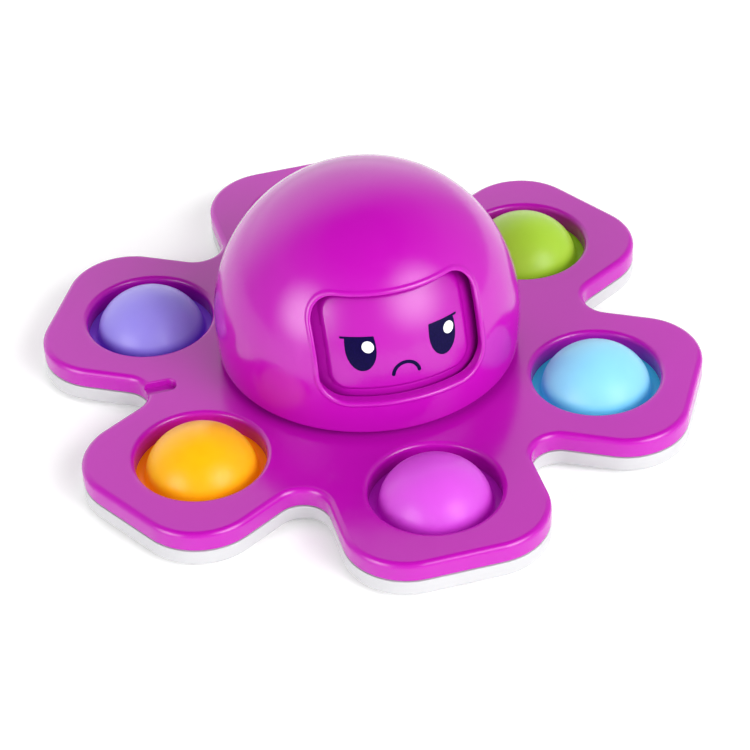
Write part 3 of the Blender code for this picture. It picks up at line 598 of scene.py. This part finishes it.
def on_front(point, radius_at):
    """The point of the head in front of (x, z)."""
    x, z = point
    return Vector((x, -math.sqrt(radius_at(z) ** 2 - x * x), z))


def direction_of(point, sphere):
    """The direction that stands for a point of the head: its heading and its height over sphere."""
    up = (point.z - HEAD_CENTRE) / sphere
    flat = Vector((point.x, point.y)).normalized() * math.sqrt(1 - up * up)
    return Vector((flat.x, flat.y, up))


def on_head(direction, sphere, radius_at):
    """The point of the head that direction stands for."""
    z = HEAD_CENTRE + sphere * direction.z
    flat = Vector((direction.x, direction.y)).normalized() * radius_at(z)
    return Vector((flat.x, flat.y, z))


def lifted(point, height):
    """The point moved straight out from the head's centre."""
    return point + (point - Vector((0.0, 0.0, HEAD_CENTRE))).normalized() * height


def make_head(look):
    """The dome as one grid. Each ray runs from the window's edge to the head's rim, and back inside."""
    inside = HEAD_RADIUS - HEAD_WALL
    centre = (0.0, (WINDOW[1] + WINDOW[2]) / 2)
    middle = direction_of(on_front(centre, outer_radius), HEAD_RADIUS)
    rim_top = SKIRT_BOTTOM + SKIRT_ROUND
    rim_up = (rim_top - HEAD_CENTRE) / HEAD_RADIUS
    outer_rings, inner_rings = 84, 30
    reveal_steps, round_steps, bead_steps, rim_steps = 5, 8, 10, 6
    bm = bmesh.new()
    rays = []
    for base, n in framed(*WINDOW):
        ray = []
        edge = on_front(base, outer_radius)
        inner_edge = on_front(base, inner_radius)
        start = on_front(base + n * WINDOW_ROUND, outer_radius)
        end = edge + Vector((0.0, min(WINDOW_ROUND, (inner_edge.y - edge.y) * 0.4), 0.0))
        control, crest = lifted(edge, BEAD_HEIGHT), lifted(start, BEAD_HEIGHT)

        for i in range(reveal_steps):
            ray.append(inner_edge.lerp(end, i / reveal_steps))
        for i in range(round_steps):
            t = i / round_steps
            weights = ((1 - t) ** 2, 1.5 * t * (1 - t), t * t)  # nearly a quarter of a circle
            ray.append((end * weights[0] + control * weights[1] + crest * weights[2]) / sum(weights))
        for i in range(bead_steps):
            t = i / bead_steps
            along_bead = WINDOW_ROUND + (BEAD_WIDTH - WINDOW_ROUND) * t
            height = BEAD_HEIGHT * (1 + math.cos(math.pi * t)) / 2
            ray.append(lifted(on_front(base + n * along_bead, outer_radius), height))

        first = direction_of(on_front(base + n * BEAD_WIDTH, outer_radius), HEAD_RADIUS)
        along = (first - middle * first.dot(middle)).normalized()
        begin = math.acos(first.dot(middle))
        reach = math.hypot(middle.z, along.z)
        finish = math.atan2(along.z, middle.z) + math.acos(rim_up / reach)
        for i in range(outer_rings + 1):
            angle = begin + (finish - begin) * i / outer_rings
            ray.append(on_head(middle * math.cos(angle) + along * math.sin(angle), HEAD_RADIUS, outer_radius))

        heading = Vector((ray[-1].x, ray[-1].y, 0.0)).normalized()
        lower = outer_radius(rim_top) - SKIRT_ROUND
        for r, z in arc((lower, rim_top), SKIRT_ROUND, 0.0, -90.0, rim_steps)[1:]:
            ray.append(heading * r + Vector((0.0, 0.0, z)))
        inner_bottom = heading * SKIRT_INNER + Vector((0.0, 0.0, SKIRT_BOTTOM))
        last = direction_of(inner_bottom, inside)
        towards = direction_of(inner_edge, inside)
        sweep = last.angle(towards)
        for i in range(inner_rings):
            share = i / inner_rings
            mixed = last * math.sin((1 - share) * sweep) + towards * math.sin(share * sweep)
            ray.append(on_head(mixed / math.sin(sweep), inside, inner_radius))
        rays.append([bm.verts.new(p) for p in ray])
    for ray, following in zip(rays, rays[1:] + rays[:1]):
        for i in range(len(ray)):
            bm.faces.new((ray[i - 1], ray[i], following[i], following[i - 1]))
    dome = placed("head_dome", made_mesh("head_dome", bm, 40.0), look)
    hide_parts("head_shell")
    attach(dome, "head")


def add_panel(bm, turn_deg):
    """A raised panel of the drum: a back in the drum's wall, a sloping edge and a front."""
    edge_steps, front_steps = 12, 9
    middle = Vector((0.0, (PANEL[1] + PANEL[2]) / 2))
    turn = Matrix.Rotation(math.radians(turn_deg), 3, "Z")
    back = DRUM_RADIUS - PANEL_HEIGHT - DRUM_WALL / 2
    shares = [1 - i / (front_steps + NEARLY_ONE) for i in range(1, front_steps + 1)]
    layers = [(0.0, back, share) for share in [*shares[::-1], 1.0]]
    for i in range(edge_steps + 1):
        t = i / edge_steps
        sunk = (PANEL_HEIGHT + GAP / 2) * (1 + math.cos(math.pi * t)) / 2
        layers.append((PANEL_EDGE * t, DRUM_RADIUS - sunk, 1.0))
    layers += [(PANEL_EDGE, DRUM_RADIUS, share) for share in shares]
    rows = []
    for inset, radius, share in layers:
        row = []
        for base, n in framed(*PANEL):
            x, z = middle + (base - n * inset - middle) * share
            y = -math.sqrt(radius**2 - x * x - (z - HEAD_CENTRE) ** 2)
            row.append(turn @ Vector((x, y, z)))
        rows.append(row)
    add_layers(bm, rows)


def make_drum(look):
    """The drum with a raised panel for each of its four faces."""
    outside, inside = DRUM_RADIUS - PANEL_HEIGHT, DRUM_RADIUS - PANEL_HEIGHT - DRUM_WALL
    well_edge = math.degrees(math.acos(DRUM_WELL_RADIUS / outside))
    hub_edge = math.degrees(math.acos(DRUM_HUB_RADIUS / inside))
    low_outer = math.degrees(math.asin((DRUM_BOTTOM - HEAD_CENTRE) / outside))
    low_inner = math.degrees(math.asin((DRUM_BOTTOM - HEAD_CENTRE) / inside))
    profile = [
        *arc((0.0, HEAD_CENTRE), outside, well_edge, low_outer, 40),
        *arc((0.0, HEAD_CENTRE), inside, low_inner, hub_edge, 20),
        (DRUM_HUB_RADIUS, DRUM_HUB_BOTTOM),
        (SPINDLE_BORE, DRUM_HUB_BOTTOM),
        (SPINDLE_BORE, DRUM_HUB_BORE_TOP),
        (SCREW_HOLE, DRUM_HUB_BORE_TOP),
        (SCREW_HOLE, DRUM_WELL_BOTTOM),
        (DRUM_WELL_RADIUS, DRUM_WELL_BOTTOM),
    ]
    bm = bmesh.new()
    add_turned(bm, profile, FINE_ROUND)
    panels = bmesh.new()
    for quarter in range(4):
        add_panel(panels, 90.0 * quarter)
    drum = carved("face_panel", bm, [("UNION", panels)], look)
    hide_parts("face_drum")
    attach(drum, "faces")


# ---------------------------------------------------------------- printed faces


def on_drum(u, v, heading_deg, lift):
    """The point (u, v) of the face that looks towards heading_deg."""
    radius = DRUM_RADIUS + lift
    up = v / DRUM_RADIUS
    turn = math.radians(heading_deg) + u / (DRUM_RADIUS * math.cos(up))
    flat = radius * math.cos(up)
    return Vector((flat * math.cos(turn), flat * math.sin(turn), HEAD_CENTRE + radius * math.sin(up)))


def printed(name, rows, heading_deg, look, closed, lift=INK):
    """A film of ink on the drum, from equal rows of (u, v). Closed rows are rings."""
    bm = bmesh.new()
    sides = []
    for height in (-INK, lift):
        sides.append([[bm.verts.new(on_drum(u, v, heading_deg, height)) for u, v in row] for row in rows])
    for side in sides:
        for near, far in zip(side, side[1:]):
            for i in range(len(near) if closed else len(near) - 1):
                j = (i + 1) % len(near)
                bm.faces.new((near[i], near[j], far[j], far[i]))
    low, high = sides
    if closed:
        for side in sides:
            bm.faces.new(side[-1])
        walls = [(low[0], high[0])]
    else:
        walls = [(low[0], high[0]), (low[-1], high[-1])]
        for end in (0, -1):
            walls.append(([row[end] for row in low], [row[end] for row in high]))
    for under, over in walls:
        for i in range(len(under) if closed else len(under) - 1):
            j = (i + 1) % len(under)
            bm.faces.new((under[i], under[j], over[j], over[i]))
    film = placed(name, made_mesh(name, bm), look)
    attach(film, "faces")
    return film


def rings_inside(outline, middle, count=7):
    """Smaller and smaller copies of an outline round its middle, the last one very small."""
    rows = []
    mid_u, mid_v = middle
    for i in range(count):
        share = 1 - i / (count - NEARLY_ONE)
        rows.append([(mid_u + (u - mid_u) * share, mid_v + (v - mid_v) * share) for u, v in outline])
    return rows


def oval(centre, wide, high, steps=40):
    angles = [2 * math.pi * i / steps for i in range(steps)]
    return [(centre[0] + wide * math.cos(a), centre[1] + high * math.sin(a)) for a in angles]


def lidded_eye(centre, wide, low, high, lid):
    """An eye with a round bottom, cut off flat by a lid at height lid over its middle."""
    points = []
    cut = math.asin(lid / high)
    for i in range(31):
        a = -math.pi - cut + (math.pi + 2 * cut) * i / 30
        tall = low if math.sin(a) < 0 else high
        points.append((centre[0] + wide * math.cos(a), centre[1] + tall * math.sin(a)))
    right, left = Vector(points[-1]), Vector(points[0])
    points += [tuple(right.lerp(left, i / 12)) for i in range(1, 12)]
    return points


def stroke(points, width):
    """Rows across a line with round ends: five points wide."""
    rows = []
    vectors = [Vector(p) for p in points]
    for i, p in enumerate(vectors):
        ahead = vectors[min(i + 1, len(vectors) - 1)]
        behind = vectors[max(i - 1, 0)]
        along = (ahead - behind).normalized()
        across = Vector((-along.y, along.x))
        rows.append((p, along, across, width / 2))
    capped = []
    for p, along, across, half in (rows[0], rows[-1]):
        sign = -1 if p is rows[0][0] else 1
        cap = []
        for degrees in (75.0, 50.0, 25.0):
            a = math.radians(degrees)
            cap.append((p + along * sign * half * math.sin(a), along, across, half * math.cos(a)))
        capped.append(cap)
    rows = capped[0] + rows + capped[1][::-1]
    return [[tuple(p + across * half * s) for s in (-1, -0.5, 0, 0.5, 1)] for p, _, across, half in rows]


def make_faces(ink, shine):
    sides = (("left", -1), ("right", 1))

    def eye_pair(kind, heading, outline_at, aside=0.0):
        """Two filled shapes. outline_at gives an outline and its middle from an eye's centre."""
        for side, sign in sides:
            outline, middle = outline_at((sign * EYE[0] + aside, EYE[1]))
            printed(f"{kind}_{side}", rings_inside(outline, middle), heading, ink, True)

    def glints(kind, heading, shift, radius, aside=0.0):
        """Round white spots on the eyes, moved from their centres by shift."""
        for side, sign in sides:
            centre = (sign * EYE[0] + aside + shift[0], EYE[1] + shift[1])
            rows = rings_inside(oval(centre, radius, radius), centre)
            printed(f"{kind}_{side}", rows, heading, shine, True, GLINT_INK)

    # The face in the window: cross
    heading = 270.0
    wide, low, high, lid = CROSS_EYE
    eye_pair(
        "cross_eye",
        heading,
        lambda c: (lidded_eye(c, wide, low, high, lid), (c[0], c[1] - 0.8 * MM)),
        CROSS_ASIDE,
    )
    for side, sign in sides:
        inner = (sign * (EYE[0] - 2.5 * MM) + CROSS_ASIDE, EYE[1] + lid - 0.08 * MM)
        outer = (sign * (EYE[0] + 3.35 * MM) + CROSS_ASIDE, EYE[1] + lid - 0.12 * MM)
        ends = (inner, outer) if sign > 0 else (outer, inner)
        line = [Vector(ends[0]).lerp(Vector(ends[1]), i / 10) for i in range(11)]
        printed(f"cross_lid_{side}", stroke(line, LID_LINE), heading, ink, False, LID_INK)
    glints("cross_glint", heading, (1.35 * MM, 0.35 * MM), 1.1 * MM, CROSS_ASIDE)
    frown = arc((0.4 * MM, 3.65 * MM), 2.45 * MM, 8.0, 172.0, 24)
    printed("cross_mouth", stroke(frown, MOUTH_LINE), heading, ink, False)

    # The other three: glad, sleepy and surprised
    heading = 0.0
    eye_pair("glad_eye", heading, lambda c: (oval(c, 2.5 * MM, 3.0 * MM), c))
    glints("glad_glint", heading, (0.9 * MM, 1.1 * MM), 0.95 * MM)
    smile = arc((0.0, 6.0 * MM), 2.6 * MM, 200.0, 340.0, 24)
    printed("glad_mouth", stroke(smile, MOUTH_LINE), heading, ink, False)

    heading = 90.0
    for side, sign in sides:
        lash = arc((sign * EYE[0], EYE[1] + 0.8 * MM), 2.6 * MM, 205.0, 335.0, 24)
        printed(f"sleepy_eye_{side}", stroke(lash, MOUTH_LINE), heading, ink, False)
    line = [(u * MM, 4.2 * MM) for u in (-1.4, -0.7, 0.0, 0.7, 1.4)]
    printed("sleepy_mouth", stroke(line, MOUTH_LINE), heading, ink, False)

    heading = 180.0
    eye_pair("surprised_eye", heading, lambda c: (oval(c, 2.2 * MM, 2.2 * MM), c))
    glints("surprised_glint", heading, (0.7 * MM, 0.7 * MM), 0.8 * MM)
    middle = (0.0, 3.9 * MM)
    rows = rings_inside(oval(middle, 1.5 * MM, 1.8 * MM), middle)
    printed("surprised_mouth", rows, heading, ink, True)


def make_pad(look):
    """The finger pad: a disc with a shallow dish below and the stub that holds it to the spindle."""
    shares = (0.25, 0.5, 0.7, 0.82, 0.91, 0.97)
    curve = [(PAD_DISH_RADIUS * s, PAD_DISH_DEPTH * (1 - s**4)) for s in shares]
    profile = [
        (0.0, PAD_DISH_DEPTH),
        *curve,
        (PAD_DISH_RADIUS + 0.15 * MM, 0.0),
        *arc((PAD_RADIUS - PAD_ROUND, PAD_ROUND), PAD_ROUND, 270.0, 360.0, 8),
        (PAD_RADIUS, PAD_TOP),
        (PAD_STUB_RADIUS, PAD_TOP),
        (PAD_STUB_RADIUS, PAD_STUB_TOP),
        (0.0, PAD_STUB_TOP),
    ]
    bm = bmesh.new()
    add_turned(bm, profile, ROUND)
    pad = placed("finger_rest", made_mesh("finger_rest", bm), look)
    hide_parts("finger_pad")
    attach(pad, "faces")


# ---------------------------------------------------------------- materials


NOISE_LOW, NOISE_HIGH = 0.3, 0.7  # nearly all of a noise texture's values lie between these
MIX_SOCKETS, MIX_RESULT = (0, 6, 7), 2  # a Mix node's factor and colours share names, so they go by number


class Look:
    """A node material round one Principled shader."""

    def __init__(self, name, **fixed):
        self.material = bpy.data.materials.new(name)
        self.material.use_nodes = True
        self.nodes = self.material.node_tree.nodes
        self.links = self.material.node_tree.links
        self.shader = self.nodes["Principled BSDF"]
        for key, value in fixed.items():
            self.shader.inputs[key.replace("_", " ")].default_value = value
        self.place = self.nodes.new("ShaderNodeTexCoord").outputs["Object"]

    def noise(self, scale, detail=3.0, roughness=0.5):
        """Noise with features about 1 / scale metres across."""
        node = self.nodes.new("ShaderNodeTexNoise")
        node.inputs["Scale"].default_value = scale
        node.inputs["Detail"].default_value = detail
        node.inputs["Roughness"].default_value = roughness
        self.links.new(self.place, node.inputs["Vector"])
        return node.outputs["Fac"]

    def ramp(self, value, stops):
        """Colours along a value, from stops of (position, colour)."""
        node = self.nodes.new("ShaderNodeValToRGB")
        elements = node.color_ramp.elements
        while len(elements) < len(stops):
            elements.new(0.5)
        for element, (position, colour) in zip(elements, stops):
            element.position = position
            element.color = (*colour, 1.0)
        self.links.new(value, node.inputs["Fac"])
        return node.outputs["Color"]

    def span(self, value, low, high):
        """A noise's usual range stretched to run from low to high."""
        node = self.nodes.new("ShaderNodeMapRange")
        node.inputs["From Min"].default_value = NOISE_LOW
        node.inputs["From Max"].default_value = NOISE_HIGH
        node.inputs["To Min"].default_value = low
        node.inputs["To Max"].default_value = high
        self.links.new(value, node.inputs["Value"])
        return node.outputs["Result"]

    def mottled(self, scale, detail, low, high):
        """Colours from low to high by noise."""
        return self.ramp(self.noise(scale, detail), [(NOISE_LOW, low), (NOISE_HIGH, high)])

    def product(self, first, second):
        node = self.nodes.new("ShaderNodeMix")
        node.data_type = "RGBA"
        node.blend_type = "MULTIPLY"
        factor, colour_a, colour_b = (node.inputs[socket] for socket in MIX_SOCKETS)
        factor.default_value = 1.0
        self.links.new(first, colour_a)
        self.links.new(second, colour_b)
        return node.outputs[MIX_RESULT]

    def bump(self, height, strength, distance):
        node = self.nodes.new("ShaderNodeBump")
        node.inputs["Strength"].default_value = strength
        node.inputs["Distance"].default_value = distance
        self.links.new(height, node.inputs["Height"])
        self.links.new(node.outputs["Normal"], self.shader.inputs["Normal"])

    def wire(self, value, socket):
        self.links.new(value, self.shader.inputs[socket])


def shade(colour, factor):
    return tuple(min(c * factor, 1.0) for c in colour)


def plastic(name, colour, roughness, mottle=0.015, worn=0.17, **fixed):
    """Glossy moulded plastic: faint mottling, uneven gloss and orange peel."""
    look = Look(name, **fixed)
    look.wire(look.mottled(55.0, 2.0, shade(colour, 1 - mottle), shade(colour, 1 + mottle)), "Base Color")
    gloss = look.noise(420.0, 1.0)
    look.wire(look.span(gloss, roughness * (1 - worn), roughness * (1 + worn)), "Roughness")
    look.bump(look.noise(260.0, 1.0), 0.025, 0.05 * MM)
    return look.material


def silicone(name, dome, foot, flange):
    """Satin silicone that lets light through its wall. Its colour ramp paints shade and the well's magenta
    reflection round the foot of the dome and a slightly lighter top, and a weak emission in the same colours
    paints a glow.
    """
    look = Look(
        name,
        Subsurface_Weight=0.5,
        Subsurface_Scale=3.0 * MM,
        Subsurface_Radius=(1.0, 0.8, 0.9),
        Specular_IOR_Level=0.3,
        # The emission paints a glow: the silicone is no lamp.
        Emission_Strength=0.2,
    )
    attribute = look.nodes.new("ShaderNodeAttribute")
    attribute.attribute_name = "dome"
    # Painted light: the deeper, darker tints from the flange up to 0.42 of the height stand for the well's
    # shade and reflection over the skin's own deeper tint, and the top is painted 3% lighter.
    stops = [(0.0, flange), (FOOT_SHARE, foot), (0.14, foot), (0.42, dome), (1.0, shade(dome, 1.03))]
    body = look.ramp(attribute.outputs["Fac"], stops)
    colour = look.product(body, look.mottled(120.0, 3.0, (0.96, 0.96, 0.96), (1.0, 1.0, 1.0)))
    look.wire(colour, "Base Color")
    # The same colour feeds the emission, the painted glow.
    look.wire(colour, "Emission Color")
    look.wire(look.span(look.noise(700.0), 0.28, 0.36), "Roughness")
    look.bump(look.noise(2500.0, 2.0), 0.06, 0.02 * MM)
    return look.material


def ink_look():
    """Dark print with the fine grain of pad printing."""
    look = Look("printed_ink", Specular_IOR_Level=0.08)
    dots = look.noise(3500.0, 2.0)
    look.wire(look.ramp(dots, [(0.35, PRINTED_DARK[0]), (0.65, PRINTED_DARK[1])]), "Base Color")
    look.wire(look.span(look.noise(900.0), 0.28, 0.4), "Roughness")
    look.bump(dots, 0.08, 0.01 * MM)
    return look.material


def metal(name, colour, roughness):
    """Machined metal with fine scratches."""
    look = Look(name, Metallic=1.0)
    look.wire(look.mottled(300.0, 5.0, shade(colour, 0.85), shade(colour, 1.1)), "Base Color")
    scratches = look.noise(2600.0, 6.0, 0.7)
    look.wire(look.span(scratches, roughness * 0.75, roughness * 1.3), "Roughness")
    look.bump(scratches, 0.12, 0.01 * MM)
    return look.material


def make_looks():
    return {
        "magenta": plastic("magenta_abs_look", MAGENTA, 0.17),
        # The panel's colour is the magenta painted 7% darker: painted shade for the recess behind the window.
        "panel": plastic("face_panel_painted_shade_look", shade(MAGENTA, 0.93), 0.26, 0.008, 0.03),
        "white": plastic("white_abs_look", WHITE, 0.3, 0.004, 0.03),
        "nylon": plastic("nylon_look", NYLON, 0.5, Subsurface_Weight=0.1, Subsurface_Scale=1.0 * MM),
        "steel": metal("steel_look", STEEL, 0.24),
        "ink": ink_look(),
        "shine": plastic("white_ink_look", PRINTED_WHITE, 0.3),
    }


def dress_cad_nodes(looks):
    """The parts inside keep their CAD shape and take a procedural material by their record slot."""
    slots = {"magenta_abs": "magenta", "white_abs": "white", "nylon": "nylon", "steel": "steel"}
    for row in frame["record"]["subparts"]:
        node = frame["nodes"][row["node"]]
        if row["material_slot"] in slots and not node.hide_render:
            node.data.materials.clear()
            node.data.materials.append(looks[slots[row["material_slot"]]])


# ---------------------------------------------------------------- stage, light and camera


def make_floor():
    bm = bmesh.new()
    bmesh.ops.create_grid(bm, x_segments=1, y_segments=1, size=FLOOR_HALF)
    look = Look("floor_look", Roughness=0.6, Emission_Color=(1.0, 1.0, 1.0, 1.0), Emission_Strength=0.15)
    look.wire(look.mottled(3.0, 3.0, *FLOOR), "Base Color")
    floor = placed("floor", made_mesh("floor", bm), look.material)
    floor.location = (0.0, 0.0, -FLOOR_DROP)


def make_camera():
    """The photo's camera. It turns about the plate's middle, and CAMERA_AIM then shifts the view."""
    azimuth, elevation = math.radians(CAMERA_AZIMUTH), math.radians(CAMERA_ELEVATION)
    level = Vector((-math.sin(azimuth), math.cos(azimuth), 0.0))
    ahead = level * math.cos(elevation) - Vector((0.0, 0.0, math.sin(elevation)))
    right = ahead.cross(Vector((0.0, 0.0, 1.0))).normalized()
    up = right.cross(ahead)
    roll = math.radians(CAMERA_ROLL)
    x = right * math.cos(roll) - up * math.sin(roll)
    y = right * math.sin(roll) + up * math.cos(roll)
    place = Vector((0.0, 0.0, PLATE_TOP)) - ahead * CAMERA_DISTANCE
    aimed = (ahead + x * CAMERA_AIM[0] + y * CAMERA_AIM[1]).normalized()
    x = (x - aimed * x.dot(aimed)).normalized()
    y = (-aimed).cross(x)
    data = bpy.data.cameras.new("camera")
    data.lens = CAMERA_LENS
    data.sensor_width = CAMERA_SENSOR
    data.clip_start = 0.01
    data.clip_end = 20.0
    camera = bpy.data.objects.new("camera", data)
    bpy.context.scene.collection.objects.link(camera)
    camera.matrix_world = Matrix.Translation(place) @ Matrix((x, y, -aimed)).transposed().to_4x4()
    bpy.context.scene.camera = camera


def toward(azimuth_deg, elevation_deg, distance):
    """A place round the star's centre."""
    azimuth, elevation = math.radians(azimuth_deg), math.radians(elevation_deg)
    level = distance * math.cos(elevation)
    return Vector((level * math.sin(azimuth), -level * math.cos(azimuth), distance * math.sin(elevation)))


def make_fill(name, place, size, radiance):
    """A square soft box turned to the star, which lights its colours but doesn't show in the gloss."""
    data = bpy.data.lights.new(name, "AREA")
    data.shape = "SQUARE"
    data.size = size
    data.energy = radiance * math.pi * size * size
    light = bpy.data.objects.new(name, data)
    bpy.context.scene.collection.objects.link(light)
    light.location = place
    light.rotation_mode = "QUATERNION"
    light.rotation_quaternion = (-place).to_track_quat("-Z", "Y")
    light.visible_glossy = False


def make_world():
    """A pale horizon, a dark ceiling and a soft glow for each big lamp. The camera itself sees white."""
    world = bpy.data.worlds.new("world")
    bpy.context.scene.world = world
    world.use_nodes = True
    nodes, links = world.node_tree.nodes, world.node_tree.links
    direction = nodes.new("ShaderNodeTexCoord").outputs["Generated"]
    split = nodes.new("ShaderNodeSeparateXYZ")
    links.new(direction, split.inputs[0])
    ramp = nodes.new("ShaderNodeValToRGB")
    ramp.color_ramp.interpolation = "EASE"
    elements = ramp.color_ramp.elements
    while len(elements) < len(SKY_STOPS):
        elements.new(0.5)
    for element, (position, grey) in zip(elements, SKY_STOPS):
        element.position = position
        element.color = (grey, grey, grey, 1.0)
    links.new(split.outputs["Z"], ramp.inputs["Fac"])
    total = ramp.outputs["Color"]
    for azimuth, elevation, inner, outer, radiance in GLOWS:
        away = nodes.new("ShaderNodeVectorMath")
        away.operation = "DISTANCE"
        away.inputs[1].default_value = toward(azimuth, elevation, 1.0)
        links.new(direction, away.inputs[0])
        glow = nodes.new("ShaderNodeMapRange")
        glow.interpolation_type = "SMOOTHSTEP"
        glow.inputs["From Min"].default_value = 2 * math.sin(math.radians(outer / 2))
        glow.inputs["From Max"].default_value = 2 * math.sin(math.radians(inner / 2))
        glow.inputs["To Max"].default_value = radiance
        links.new(away.outputs["Value"], glow.inputs["Value"])
        added = nodes.new("ShaderNodeMath")
        links.new(total, added.inputs[0])
        links.new(glow.outputs["Result"], added.inputs[1])
        total = added.outputs[0]
    seen = nodes.new("ShaderNodeMath")
    seen.operation = "MAXIMUM"
    links.new(nodes.new("ShaderNodeLightPath").outputs["Is Camera Ray"], seen.inputs[0])
    links.new(total, seen.inputs[1])
    links.new(seen.outputs[0], nodes["Background"].inputs["Color"])


def main():
    looks = make_looks()
    skins = {colour: silicone(f"silicone_{colour}_look", *pair) for colour, pair in BUBBLE_COLOURS_AND_PAINTED_LIGHT.items()}
    make_star_top(looks["magenta"])
    make_star_bottom(looks["white"])
    make_bubbles(skins)
    make_case_screws(looks["steel"])
    make_head(looks["magenta"])
    make_drum(looks["panel"])
    make_faces(looks["ink"], looks["shine"])
    make_pad(looks["magenta"])
    dress_cad_nodes(looks)
    make_floor()
    make_world()
    make_fill("fill_above", Vector((0.0, -0.05, 0.8)), 0.7, 0.3)
    make_fill("fill_front", toward(20.0, 32.0, 0.8), 0.5, 2.6)
    make_fill("fill_right", toward(72.0, 8.0, 0.6), 0.4, 2.0)
    make_camera()
    bpy.context.scene.view_settings.view_transform = "Standard"


main()
